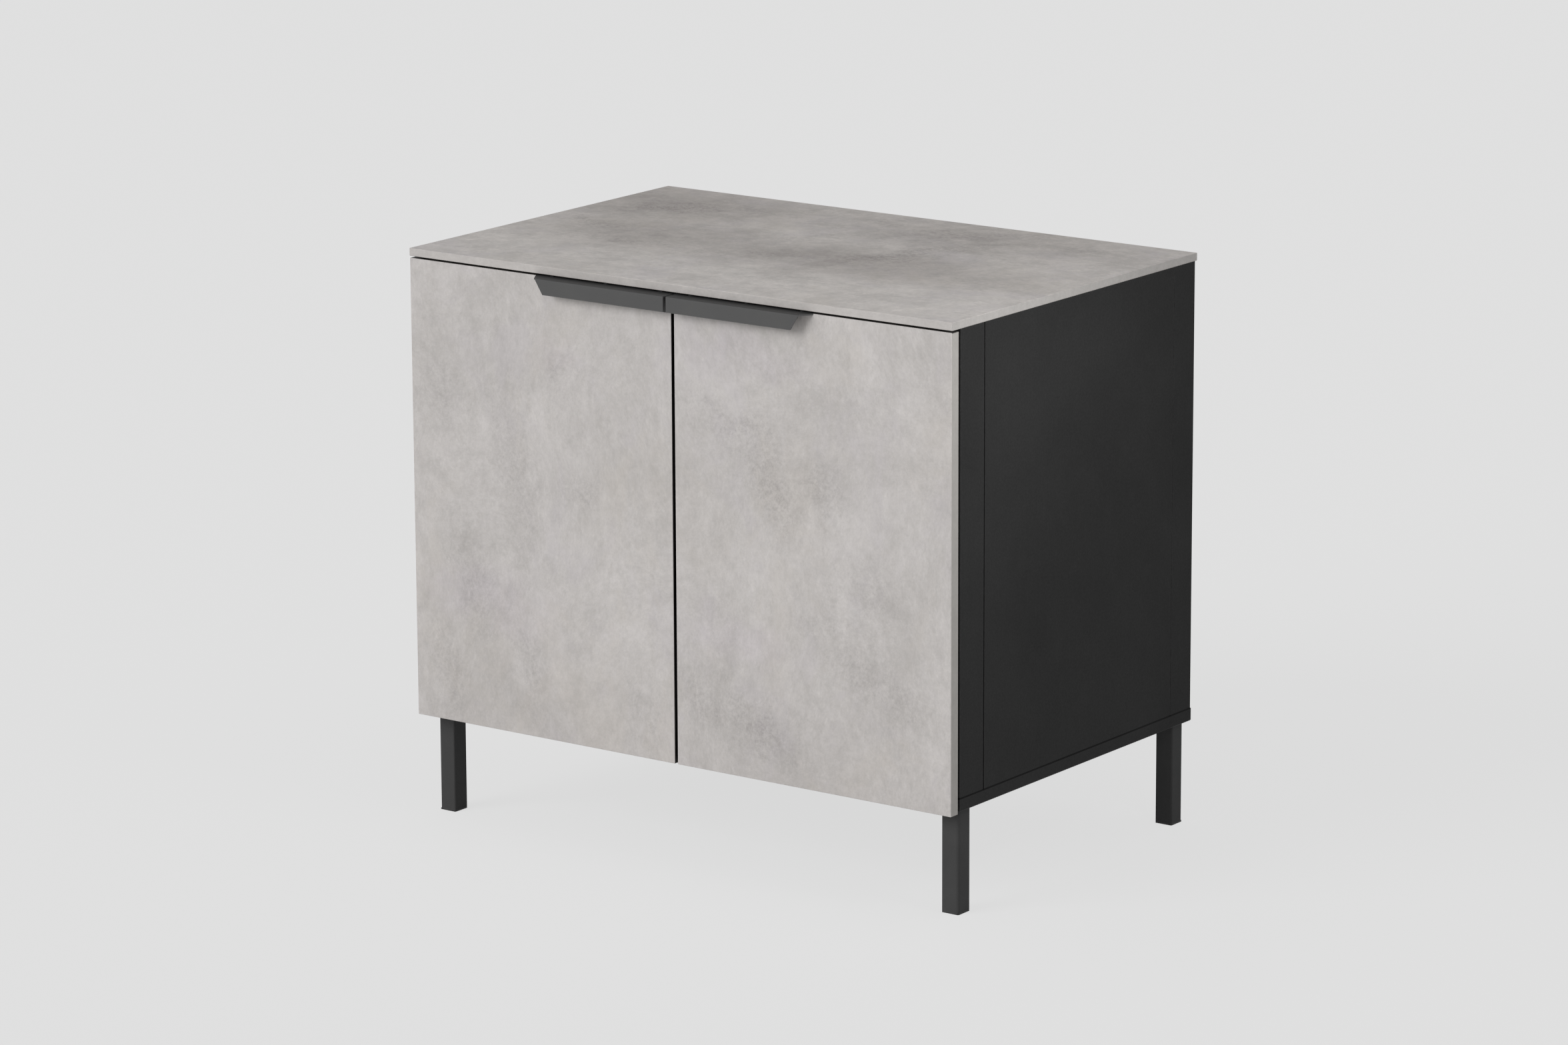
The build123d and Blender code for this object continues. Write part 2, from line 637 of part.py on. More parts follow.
# Hinges
for name, side in sides.items():
    for height, hinge_z in hinge_zs.items():
        pin_place = (side * hinge_pin_x, hinge_pin_y)
        pin_half = ear_gap / 2 + ear_length
        with BuildPart() as cup:
            with BuildSketch(upright(door_back_y)):
                with Locations((side * cup_x, hinge_z)):
                    Circle(cup_radius)
            extrude(amount=cup_depth)
            with BuildSketch(upright(door_back_y)):
                with Locations((side * cup_x, hinge_z)):
                    Circle(cup_flange_radius)
                with Locations((side * cup_wing_x, hinge_z)):
                    RectangleRounded(cup_wing_width, cup_wing_length, cup_wing_corner_radius)
            extrude(amount=-cup_flange_thickness)
            with BuildSketch(upright(cup_face_y)):
                with Locations((side * cup_x, hinge_z)):
                    Circle(cup_radius - cup_wall)
                for end in (-1, 1):
                    ear_xs = (side * (hinge_pin_x - ear_width), side * (cup_x + cup_radius))
                    ear_zs = (hinge_z + end * ear_gap / 2, hinge_z + end * cup_radius)
                    area(*ear_xs, *ear_zs, mode=Mode.SUBTRACT)
            extrude(amount=cup_depth + cup_flange_thickness - cup_wall, mode=Mode.SUBTRACT)
            drill(
                upright(cup_face_y),
                [(side * cup_wing_x, hinge_z + end * cup_screw_spacing / 2) for end in (-1, 1)],
                cup_screw_radius, cup_flange_thickness,
            )
            drill(level(hinge_z - pin_half), [pin_place], hinge_pin_radius, 2 * pin_half)
        save(cup.part, f"{name}_{height}_hinge_cup")

        with BuildPart() as hinge_pin:
            rods(level(hinge_z - pin_half), [pin_place], hinge_pin_radius, 2 * pin_half)
        save(hinge_pin.part, f"{name}_{height}_hinge_pin")

        neck_front_y = hinge_pin_y - arm_thickness / 2
        with BuildPart() as arm:
            with BuildSketch(level(hinge_z - arm_neck_width / 2)) as neck:
                area(side * arm_face_x, side * hinge_pin_x, neck_front_y, neck_front_y + arm_thickness)
                area(side * arm_face_x, side * plate_face_x, neck_front_y, arm_back_y)
                bend = neck.vertices().sort_by_distance((side * arm_face_x, neck_front_y, 0))[0]
                fillet(bend, arm_bend_radius)
                with Locations(pin_place):
                    Circle(hinge_eye_radius)
                    Circle(hinge_pin_radius + hinge_pin_clearance, mode=Mode.SUBTRACT)
            extrude(amount=arm_neck_width)
            channel_front_y = carcass_front_y + arm_channel_start
            channel_inner = plate_rib_width / 2 + arm_channel_clearance
            channel_outer = channel_inner + arm_channel_wall
            with BuildSketch(sideways(side * arm_face_x)):
                area(channel_front_y, arm_back_y, hinge_z - channel_outer, hinge_z + channel_outer)
            extrude(amount=side * arm_thickness)
            with BuildSketch(sideways(side * plate_face_x)):
                for end in (-1, 1):
                    wall_zs = (hinge_z + end * channel_inner, hinge_z + end * channel_outer)
                    area(channel_front_y, arm_back_y, *wall_zs)
            extrude(amount=side * arm_channel_depth)
            arm_face = sideways(side * arm_face_x)
            drill(arm_face, [(arm_screw_y, hinge_z)], arm_screw_radius, side * arm_thickness)
        save(arm.part, f"{name}_{height}_hinge_arm")

        with BuildPart() as plate:
            with BuildSketch(sideways(side * inner_x)):
                area(
                    carcass_front_y + plate_rib_start, carcass_front_y + plate_rib_end,
                    hinge_z - plate_rib_width / 2, hinge_z + plate_rib_width / 2,
                )
            extrude(amount=-side * plate_rib_height)
            with BuildSketch(sideways(side * inner_x)):
                with Locations((plate_y, hinge_z)):
                    RectangleRounded(plate_wing_width, plate_wing_length, plate_wing_corner_radius)
            extrude(amount=-side * plate_wing_thickness)
            wing_holes = [(plate_y, hinge_z + end * plate_screw_spacing / 2) for end in (-1, 1)]
            drill(sideways(side * inner_x), wing_holes, plate_screw_radius, -side * plate_wing_thickness)
            rib_face = sideways(side * plate_face_x)
            drill(rib_face, [(arm_screw_y, hinge_z)], arm_screw_radius, side * arm_screw_bite)
        save(plate.part, f"{name}_{height}_hinge_plate")

with BuildPart() as hinge_plate_screws:
    for side in sides.values():
        pan_screws(
            sideways(side * (inner_x - plate_wing_thickness)), plate_screw_points, side,
            plate_screw_head_radius, plate_screw_head_height,
            plate_screw_radius, plate_wing_thickness + plate_screw_bite,
        )
save(hinge_plate_screws.part, "hinge_plate_screws")

with BuildPart() as hinge_arm_screws:
    for side in sides.values():
        pan_screws(
            sideways(side * arm_face_x), arm_screw_points, side,
            arm_screw_head_radius, arm_screw_head_height, arm_screw_radius, arm_thickness + arm_screw_bite,
        )
save(hinge_arm_screws.part, "hinge_arm_screws")
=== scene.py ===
"""Finishes, dark plates behind the handles as painted shade, door buffers, stage, lamps and camera for a
two-door kitchen base cabinet.
"""
import math
from collections import namedtuple

import bpy
import numpy as np
from bpy.props import FloatProperty, FloatVectorProperty, PointerProperty
from mathutils import Matrix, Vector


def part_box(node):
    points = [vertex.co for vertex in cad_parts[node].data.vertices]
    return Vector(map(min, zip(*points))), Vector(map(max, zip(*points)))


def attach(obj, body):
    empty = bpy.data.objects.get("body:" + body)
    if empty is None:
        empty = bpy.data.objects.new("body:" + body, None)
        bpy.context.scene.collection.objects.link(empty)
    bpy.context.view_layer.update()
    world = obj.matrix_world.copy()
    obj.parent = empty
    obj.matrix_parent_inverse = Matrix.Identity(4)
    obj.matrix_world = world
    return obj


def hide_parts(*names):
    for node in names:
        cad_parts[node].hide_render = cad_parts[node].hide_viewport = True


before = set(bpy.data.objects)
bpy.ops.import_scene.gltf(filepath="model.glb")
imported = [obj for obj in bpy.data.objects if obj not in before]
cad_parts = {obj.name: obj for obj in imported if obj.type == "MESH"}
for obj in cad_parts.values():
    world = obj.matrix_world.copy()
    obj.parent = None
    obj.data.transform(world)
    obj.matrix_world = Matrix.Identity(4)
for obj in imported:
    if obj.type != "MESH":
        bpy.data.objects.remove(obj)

bl_info = {
    "name": "Kitchen Base Cabinet",
    "version": (1, 0, 0),
    "blender": (4, 5, 0),
    "location": "3D View > Sidebar > Cabinet",
    "description": "Finishes, stage and camera for a kitchen base cabinet with two doors",
    "category": "Object",
}

SIDES = {"left": -1, "right": 1}
HEIGHTS = ("upper", "lower")
ROWS = ("front", "rear")
X, Y, Z = 0, 1, 2
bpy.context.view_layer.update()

# The sockets of a node that mixes colours: how much, what lies under, what lies over, and what comes out
FACTOR, UNDER, OVER, MIXED = 0, 6, 7, 2
# Noise seldom leaves this span, so what it steers runs from one end of it to the other
NOISE_SPAN = {"From Min": 0.3, "From Max": 0.7}
# How far each cloud layer's noise is moved from that of the one below, in the noise's own metres
CLOUD_SHIFT = (1.7, 0.9, 2.3)
# A print's flecks are pushed about by noise of the first length, and by up to half the second
FLECK_BEND, FLECK_STRAY = 0.01, 0.006
# By how much the fibres of the boards and of the hardboard lighten and darken them
BOARD_FIBRE, HARDBOARD_FIBRE = 0.02, 0.08
# Across one of the smears that dull a board, in metres
SMEAR_SIZE = 0.12
# A drawing line's length in plated steel, in its own widths
LINE_LENGTH = 30
# How far a print's soft patches reach through their board, and the level in a door that they lie at
PATCH_DEPTH, DOOR_LEVEL = 0.3, -0.3
# A cut end's colour reaches this far to each side of its face, a door's top band of painted shade this far
# above and below its top edge, and a meeting edge's dark band of painted shade this far from it
CUT_REACH, TOP_ABOVE, TOP_BELOW, MEETING_SHADE_REACH = 0.0005, 0.0005, 0.0009, 0.00175
# Between the top of a handle and that of the dark plate behind its flap, which is painted shade, in metres
PLATE_TOP_GAP = 0.0025
# Points along one corner of a back plate, and levels up and points round a buffer's dome
CORNER_POINTS, DOME_LEVELS, DOME_POINTS = 8, 14, 40

# The floor's own paper, which shows where light falls on it
PAPER = (0.9, 0.9, 0.9)
# The key is a sun of this angle, turned this way
KEY_ANGLE, KEY_TURN = math.radians(35), (math.radians(63), 0, math.radians(-25))
# The fill is a small square lamp: its size in metres, its spread, its place and its turn
FILL_SIZE, FILL_SPREAD = 0.2, math.radians(90)
FILL_PLACE, FILL_TURN = (1.35, -0.30, 1.05), (math.radians(76), 0, math.radians(84))
# The width of the camera's sensor in millimetres
SENSOR_WIDTH = 36.0

# One layer of a clouded surface. Size is in metres, stretch multiplies the pattern's scale along each axis,
# low and high are the noise values between which the layer fades in, and strength is its most.
Cloud = namedtuple("Cloud", "size stretch detail roughness distortion low high strength colour")
# A soft patch: its middle in metres, its half width along each of its own axes, its turn and its strength.
Patch = namedtuple("Patch", "middle reach turn strength")
# How strongly a print's fine layers show, each as the share by which it lightens or darkens, and how much
# of its lighter edges shows, which are wear and a painted highlight.
Fine = namedtuple("Fine", "mottle along across rubbed")
# A stretch of the narrow faces with its own colour: the axis and the lengths between which it lies.
Span = namedtuple("Span", "axis near far colour")


def linear(code):
    """The linear colour of an sRGB hex value: a channel is divided by 12.92 up to 0.04045, and above
    that it is raised by 0.055, divided by 1.055 and taken to the power 2.4."""
    channels = np.array([int(code[i:i + 2], 16) for i in (1, 3, 5)]) / 255
    return tuple(np.where(channels <= 0.04045, channels / 12.92, ((channels + 0.055) / 1.055) ** 2.4))


def solid(colour):
    """A colour with full alpha, for a node's socket."""
    return (*colour, 1.0)


def add(tree, kind, inputs=None, **settings):
    """Adds a shader node of a kind. Settings are its own properties. Inputs go by name or number, and each
    is a value or the output that feeds it."""
    node = tree.nodes.new("ShaderNode" + kind)
    for name, value in settings.items():
        setattr(node, name, value)
    for key, value in (inputs or {}).items():
        if isinstance(value, bpy.types.NodeSocket):
            tree.links.new(value, node.inputs[key])
        else:
            node.inputs[key].default_value = value
    return node


def new_finish(name):
    """An empty material and its node tree."""
    material = bpy.data.materials.new(name)
    material.use_nodes = True
    material.node_tree.nodes.clear()
    return material, material.node_tree


def coat(names, material):
    """Gives CAD nodes a finish."""
    for name in names:
        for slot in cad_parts[name].material_slots:
            slot.material = material


def clouded(tree, place, colour, clouds):
    """Lays soft noise clouds over a colour, one on top of the other."""
    for number, cloud in enumerate(clouds):
        moved = add(tree, "Mapping", {
            "Vector": place, "Location": [shift * number for shift in CLOUD_SHIFT], "Scale": cloud.stretch,
        })
        noise = add(tree, "TexNoise", {
            "Vector": moved.outputs[0], "Scale": 1 / cloud.size, "Detail": cloud.detail,
            "Roughness": cloud.roughness, "Distortion": cloud.distortion,
        })
        amount = add(tree, "MapRange", {
            "Value": noise.outputs["Fac"], "From Min": cloud.low, "From Max": cloud.high,
            "To Min": 0.0, "To Max": cloud.strength,
        }, interpolation_type="SMOOTHSTEP")
        colour = add(tree, "Mix", {
            FACTOR: amount.outputs[0], UNDER: colour, OVER: solid(cloud.colour),
        }, data_type="RGBA").outputs[MIXED]
    return colour


def patched(tree, place, patches):
    """How much of any soft patch lies at a place: 1 less the distance from its middle in reaches, smoothed
    and times its strength, and the largest of them all."""
    most = 0.0
    for patch in patches:
        near = add(tree, "Mapping", {
            "Vector": place, "Location": patch.middle, "Rotation": patch.turn, "Scale": patch.reach,
        }, vector_type="TEXTURE")
        away = add(tree, "VectorMath", {0: near.outputs[0]}, operation="LENGTH")
        amount = add(tree, "MapRange", {
            "Value": away.outputs["Value"], "From Min": 1.0, "From Max": 0.0,
            "To Min": 0.0, "To Max": patch.strength,
        }, interpolation_type="SMOOTHSTEP")
        most = add(tree, "Math", {0: amount.outputs[0], 1: most}, operation="MAXIMUM").outputs[0]
    return most


def wavering(tree, place, size, amount):
    """A place pushed about by noise, so that what is drawn there has uneven borders."""
    noise = add(tree, "TexNoise", {"Vector": place, "Scale": 1 / size, "Detail": 5.0, "Roughness": 0.6})
    centred = add(tree, "VectorMath", {0: noise.outputs["Color"], 1: (0.5, 0.5, 0.5)}, operation="SUBTRACT")
    push = add(tree, "VectorMath", {0: centred.outputs[0], "Scale": amount}, operation="SCALE")
    return add(tree, "VectorMath", {0: place, 1: push.outputs[0]}, operation="ADD").outputs[0]


def streaked(tree, place, width, length, axis, roughness=0.6):
    """Fine streaks along one axis: noise squeezed by the streak's width over its length."""
    squeeze = [1.0, 1.0, 1.0]
    squeeze[axis] = width / length
    stretched = add(tree, "Mapping", {"Vector": place, "Scale": squeeze})
    return add(tree, "TexNoise", {
        "Vector": stretched.outputs[0], "Scale": 1 / width, "Detail": 3.0, "Roughness": roughness,
    }).outputs["Fac"]


def shaded(tree, colour, noise, low, high):
    """Multiplies a colour by a factor that follows a noise value, from low to high."""
    factor = add(tree, "MapRange", {"Value": noise, **NOISE_SPAN, "To Min": low, "To Max": high})
    return add(tree, "Mix", {
        FACTOR: 1.0, UNDER: colour, OVER: factor.outputs[0],
    }, data_type="RGBA", blend_type="MULTIPLY").outputs[MIXED]


def worn_and_highlit_edges(tree, place, colour, wear_and_highlight, width, patch, share):
    """Lays a lighter colour over the edges, for wear and as a painted highlight, as far as a normal rounded
    over the width turns from the true one. Noise of the patch's size breaks it up, and share is its most."""
    rounded = add(tree, "Bevel", {"Radius": width}, samples=4)
    true = add(tree, "NewGeometry")
    likeness = add(tree, "VectorMath", {
        0: rounded.outputs[0], 1: true.outputs["True Normal"],
    }, operation="DOT_PRODUCT")
    turn = add(tree, "MapRange", {
        "Value": likeness.outputs["Value"], "From Min": 0.995, "From Max": 0.8, "To Min": 0.0, "To Max": 1.0,
    })
    uneven = add(tree, "TexNoise", {"Vector": place, "Scale": 1 / patch, "Detail": 4.0, "Roughness": 0.7})
    broken = add(tree, "MapRange", {
        "Value": uneven.outputs["Fac"], "From Min": 0.38, "From Max": 0.62,
        "To Min": 0.25 * share, "To Max": share,
    })
    amount = add(tree, "Math", {0: turn.outputs[0], 1: broken.outputs[0]}, operation="MULTIPLY")
    return add(tree, "Mix", {
        FACTOR: amount.outputs[0], UNDER: colour, OVER: solid(wear_and_highlight),
    }, data_type="RGBA").outputs[MIXED]


def surfaced(material, colour, noise, roughness, height, depth, strength, inputs):
    """Ends a finish: its roughness follows a noise value, from one value to another, and a height pattern
    raises it by up to depth, in metres, at a strength. Inputs are the shader's other values."""
    tree = material.node_tree
    low, high = roughness
    dull = add(tree, "MapRange", {"Value": noise, **NOISE_SPAN, "To Min": low, "To Max": high})
    relief = add(tree, "Bump", {"Height": height, "Distance": depth, "Strength": strength})
    shader = add(tree, "BsdfPrincipled", {
        "Base Color": colour, "Roughness": dull.outputs[0], "Normal": relief.outputs[0], **inputs,
    })
    add(tree, "OutputMaterial", {"Surface": shader.outputs[0]})
    return material


def cement_print(name, look, pale, clouds, hazes, patches, fine, grain_axis, face_axis, band, spans):
    """Cement-look decor paper under melamine resin, pressed matt: grey clouds and broad tints broken up by
    fine mottles, darker fleck-filled patches and faint crossed streaks. Each haze is a colour that multiplies
    the print, and its patches, and the dark ones are painted shade. Narrow faces have a plain band, with
    another colour in each span, and on the doors these spans are painted shade."""
    material, tree = new_finish(name)
    coordinates = add(tree, "TexCoord")
    place = coordinates.outputs["Object"]
    colour = clouded(tree, place, solid(pale), clouds)

    # Hazes and patches have uneven borders, and the patches are filled with fine flecks
    uneven = wavering(tree, place, look.warp_size, look.warp)
    # The dark hazes are painted shade: the worktop darker towards its back and middle, the doors towards the
    # bottom
    for tint, places in hazes:
        colour = add(tree, "Mix", {
            FACTOR: patched(tree, uneven, places), UNDER: colour, OVER: solid(tint),
        }, data_type="RGBA", blend_type="MULTIPLY").outputs[MIXED]
    flecks = add(tree, "TexNoise", {
        "Vector": wavering(tree, place, FLECK_BEND, FLECK_STRAY), "Scale": 1 / look.fleck_size,
        "Detail": 5.0, "Roughness": 0.8,
    })
    fleck_amount = add(tree, "MapRange", {
        "Value": flecks.outputs["Fac"], "From Min": 0.42, "From Max": 0.66, "To Min": 0.15, "To Max": 1.0,
    })
    filled = add(tree, "Math", {
        0: fleck_amount.outputs[0], 1: patched(tree, uneven, patches),
    }, operation="MULTIPLY")
    colour = add(tree, "Mix", {
        FACTOR: filled.outputs[0], UNDER: colour, OVER: solid(look.fleck),
    }, data_type="RGBA", blend_type="MULTIPLY").outputs[MIXED]

    # Fine layers of the print: mottles, streaks along the grain and fainter ones across it
    cross_axis = X + Y + Z - grain_axis - face_axis
    mottles = streaked(tree, place, look.mottle_size, look.mottle_size * 1.5, grain_axis, roughness=0.9)
    along = streaked(tree, place, look.streak_width, look.streak_length, grain_axis)
    across = streaked(tree, place, look.streak_width, look.streak_length / 2, cross_axis)
    for layer, share in ((mottles, fine.mottle), (along, fine.along), (across, fine.across)):
        colour = shaded(tree, colour, layer, 1 - share, 1 + share)

    # The band on the narrow faces, with each span's own colour, which on the doors is painted shade
    spot = add(tree, "SeparateXYZ", {0: place})
    facing = add(tree, "SeparateXYZ", {0: coordinates.outputs["Normal"]})
    flat = add(tree, "Math", {0: facing.outputs[face_axis]}, operation="ABSOLUTE")
    narrow = add(tree, "Math", {0: flat.outputs[0], 1: 0.5}, operation="LESS_THAN")
    edging = solid(band)
    for span in spans:
        off = add(tree, "Math", {0: spot.outputs[span.axis]}, operation="ABSOLUTE")
        within = add(tree, "Math", {
            0: off.outputs[0], 1: (span.near + span.far) / 2, 2: (span.far - span.near) / 2,
        }, operation="COMPARE")
        edging = add(tree, "Mix", {
            FACTOR: within.outputs[0], UNDER: edging, OVER: solid(span.colour),
        }, data_type="RGBA").outputs[MIXED]
    edging = shaded(tree, edging, mottles, 1 - fine.mottle, 1 + fine.mottle)
    colour = add(tree, "Mix", {
        FACTOR: narrow.outputs[0], UNDER: colour, OVER: edging,
    }, data_type="RGBA").outputs[MIXED]
    # Edges drawn lighter, for wear and as a painted highlight
    colour = worn_and_highlit_edges(tree, place, colour, look.rubbed, look.edge_width, patch=0.02, share=fine.rubbed)

    # Pressed resin: a fine grain, a little duller on the flecks. It is drawn coarser than the real grain
    # of about 0.3 mm, which would be lost between the picture's pixels.
    grain = add(tree, "TexNoise", {"Vector": place, "Scale": 1 / look.grain_size, "Detail": 3.0})
    raised = add(tree, "Math", {0: grain.outputs["Fac"], 1: flecks.outputs["Fac"]}, operation="ADD")
    return surfaced(
        material, colour, flecks.outputs["Fac"], roughness=(0.5, 0.62), height=raised.outputs[0],
        depth=look.grain_height, strength=1.0, inputs={"Specular IOR Level": 0.2})


def plain_board(name, look, colours, fibre, seam, joint):
    """Uni-colour melamine on particle board, with a pearl texture from the press plate: tiny dimples that
    soften the gloss, and slightly greyer edges, drawn lighter for wear and as a painted highlight. Fibre adds
    the long faint streaks of thin hardboard. Seam is the height of the closed joint above the bottom board
    and joint is the depth of the one between a front post and its side panel: both have arrises that lie in
    their own shadow, which is painted dark."""
    material, tree = new_finish(name)
    coordinates = add(tree, "TexCoord")
    place = coordinates.outputs["Object"]
    base, light, wear_and_highlight = colours
    colour = clouded(tree, place, solid(base), (
        Cloud(0.30, (1, 1, 1), 4.0, 0.5, 0.3, 0.35, 0.65, 0.7, light),
        Cloud(0.045, (1, 1, 1), 5.0, 0.6, 0.5, 0.5, 0.7, 0.35, light),
    ))
    fibres = streaked(tree, place, width=0.003, length=0.06, axis=Z)
    colour = shaded(tree, colour, fibres, 1 - fibre, 1 + fibre)
    specks = add(tree, "TexNoise", {"Vector": place, "Scale": 1 / (2 * look.pearl_size), "Detail": 5.0})
    colour = shaded(tree, colour, specks.outputs["Fac"], low=0.9, high=1.1)
    # Edges drawn lighter, for wear and as a painted highlight
    colour = worn_and_highlit_edges(tree, place, colour, wear_and_highlight, look.edge_width, patch=0.015, share=0.8)

    # The two closed joints, drawn dark as the painted shade of their arrises. The upright one shows on faces
    # that look sideways, above the level one.
    spot = add(tree, "SeparateXYZ", {0: place})
    facing = add(tree, "SeparateXYZ", {0: coordinates.outputs["Normal"]})
    reach = look.seam_width / 2
    level = add(tree, "Math", {0: spot.outputs[Z], 1: seam, 2: reach}, operation="COMPARE")
    sideways = add(tree, "Math", {0: facing.outputs[X]}, operation="ABSOLUTE")
    outer = add(tree, "Math", {0: sideways.outputs[0], 1: 0.6}, operation="GREATER_THAN")
    above = add(tree, "Math", {0: spot.outputs[Z], 1: seam}, operation="GREATER_THAN")
    standing = add(tree, "Math", {0: outer.outputs[0], 1: above.outputs[0]}, operation="MULTIPLY")
    meeting_shade = add(tree, "Math", {0: spot.outputs[Y], 1: joint, 2: reach}, operation="COMPARE")
    upright = add(tree, "Math", {0: standing.outputs[0], 1: meeting_shade.outputs[0]}, operation="MULTIPLY")
    dark = add(tree, "Math", {0: level.outputs[0], 1: upright.outputs[0]}, operation="MAXIMUM")
    colour = add(tree, "Mix", {
        FACTOR: dark.outputs[0], UNDER: colour, OVER: solid(look.seam),
    }, data_type="RGBA").outputs[MIXED]

    # The dimples are drawn coarser than the real pearl of about 0.5 mm, so that they can still be seen
    dimples = add(tree, "TexVoronoi", {"Vector": place, "Scale": 1 / look.pearl_size})
    smears = add(tree, "TexNoise", {
        "Vector": place, "Scale": 1 / SMEAR_SIZE, "Detail": 4.0, "Distortion": 0.8,
    })
    return surfaced(
        material, colour, smears.outputs["Fac"], roughness=(0.42, 0.54), height=dimples.outputs["Distance"],
        depth=look.pearl_height, strength=0.4, inputs={"Specular IOR Level": 0.03})


def powder_coat(name, look, colours, roughness):
    """Baked polyester powder on steel: an even, finely pebbled skin with tiny lighter specks, lighter along
    the edges for wear and as a painted highlight. Faces that look up are drawn darker, as painted shade."""
    material, tree = new_finish(name)
    coordinates = add(tree, "TexCoord")
    place = coordinates.outputs["Object"]
    base, speck, wear_and_highlight, upper = colours
    colour = clouded(tree, place, solid(base), (
        Cloud(0.06, (1, 1, 1), 4.0, 0.5, 0.2, 0.4, 0.7, 0.25, speck),
        Cloud(look.pebble_size * 1.5, (1, 1, 1), 2.0, 0.5, 0.0, 0.58, 0.7, 0.35, speck),
    ))
    # Edges drawn lighter, for wear and as a painted highlight
    colour = worn_and_highlit_edges(tree, place, colour, wear_and_highlight, look.edge_width, patch=0.01, share=0.5)
    # Painted shade: faces that look up are drawn darker
    facing = add(tree, "SeparateXYZ", {0: coordinates.outputs["Normal"]})
    lying = add(tree, "MapRange", {"Value": facing.outputs[Z], "From Min": 0.2, "From Max": 0.8})
    colour = add(tree, "Mix", {
        FACTOR: lying.outputs[0], UNDER: colour, OVER: solid(upper),
    }, data_type="RGBA").outputs[MIXED]

    # The pebbles are drawn coarser than the real skin's, which are about 0.3 mm across
    pebbles = add(tree, "TexNoise", {"Vector": place, "Scale": 1 / look.pebble_size, "Detail": 2.0})
    return surfaced(
        material, colour, pebbles.outputs["Fac"], roughness, height=pebbles.outputs["Fac"],
        depth=look.pebble_height, strength=0.5, inputs={"Specular IOR Level": 0.05})


def plated_steel(name, colours, roughness, line_axis, line_width):
    """Pressed or turned steel with a thin bright plating: fine drawing lines, faint stains in the
    plating and brighter edges, worn and with a painted highlight."""
    material, tree = new_finish(name)
    place = add(tree, "TexCoord").outputs["Object"]
    base, stain, bright = colours
    colour = clouded(tree, place, solid(base), (
        Cloud(0.012, (1, 1, 1), 5.0, 0.6, 0.6, 0.45, 0.7, 0.6, stain),
        Cloud(0.003, (1, 1, 1), 3.0, 0.6, 0.0, 0.5, 0.7, 0.3, bright),
    ))
    # The lines are drawn coarser than real drawing lines, which are under 0.1 mm wide
    lines = streaked(tree, place, line_width, line_width * LINE_LENGTH, line_axis)
    colour = shaded(tree, colour, lines, low=0.92, high=1.05)
    colour = worn_and_highlit_edges(tree, place, colour, bright, width=0.0005, patch=0.003, share=1.0)
    return surfaced(
        material, colour, lines, roughness, height=lines,
        depth=0.00002, strength=0.5, inputs={"Metallic": 1.0})


def moulded(name, colours, roughness, grain):
    """Moulded plastic or rubber: a fine spark-eroded grain from the mould, slight cloudiness and edges
    that catch dust."""
    material, tree = new_finish(name)
    place = add(tree, "TexCoord").outputs["Object"]
    base, haze, dust = colours
    colour = clouded(tree, place, solid(base), (
        Cloud(0.008, (1, 1, 1), 4.0, 0.5, 0.3, 0.4, 0.7, 0.5, haze),
    ))
    colour = worn_and_highlit_edges(tree, place, colour, dust, width=0.0006, patch=0.004, share=0.5)
    # The pits are drawn coarser than the mould's real grain of about 0.1 mm
    pits = add(tree, "TexNoise", {"Vector": place, "Scale": 1 / grain, "Detail": 2.0})
    return surfaced(
        material, colour, pits.outputs["Fac"], roughness, height=pits.outputs["Fac"],
        depth=0.00003, strength=0.5, inputs={"Specular IOR Level": 0.4})


def beech(name, pale, dark, fleck):
    """Turned beech: pale wood with its grain along the dowel and the short dark flecks of its rays."""
    material, tree = new_finish(name)
    place = add(tree, "TexCoord").outputs["Object"]
    # The grain is drawn coarser than beech's real fibres, which are about 0.1 mm wide
    grain = streaked(tree, place, width=0.0008, length=0.02, axis=X)
    colour = add(tree, "Mix", {
        FACTOR: grain, UNDER: solid(pale), OVER: solid(dark),
    }, data_type="RGBA").outputs[MIXED]
    colour = clouded(tree, place, colour, (
        Cloud(0.0012, (0.25, 1, 1), 1.0, 0.5, 0.0, 0.6, 0.68, 0.7, fleck),
    ))
    relief = add(tree, "Bump", {"Height": grain, "Distance": 0.00005, "Strength": 1.0})
    wood = add(tree, "BsdfPrincipled", {"Base Color": colour, "Roughness": 0.6, "Normal": relief.outputs[0]})
    add(tree, "OutputMaterial", {"Surface": wood.outputs[0]})
    return material


def linked(name, data):
    """A new object in the scene, at the origin."""
    thing = bpy.data.objects.new(name, data)
    bpy.context.scene.collection.objects.link(thing)
    return thing


def whole_mesh(name, places, faces, material, smooth=True):
    """A linked object at the origin, from an array of places and a list of faces."""
    mesh = bpy.data.meshes.new(name)
    mesh.from_pydata(places.tolist(), [], faces)
    mesh.polygons.foreach_set("use_smooth", np.full(len(mesh.polygons), smooth))
    mesh.materials.append(material)
    mesh.update()
    return linked(name, mesh)


def ring_walls(rings, around):
    """The faces between closed rings of points that follow one another: points j and j + 1 of ring i, the
    last joined to the first, with the same two of ring i + 1."""
    ring, step = np.meshgrid(np.arange(rings - 1), np.arange(around), indexing="ij")
    first, following = ring * around + step, ring * around + (step + 1) % around
    return np.stack([first, following, following + around, first + around], -1).reshape(-1, 4)


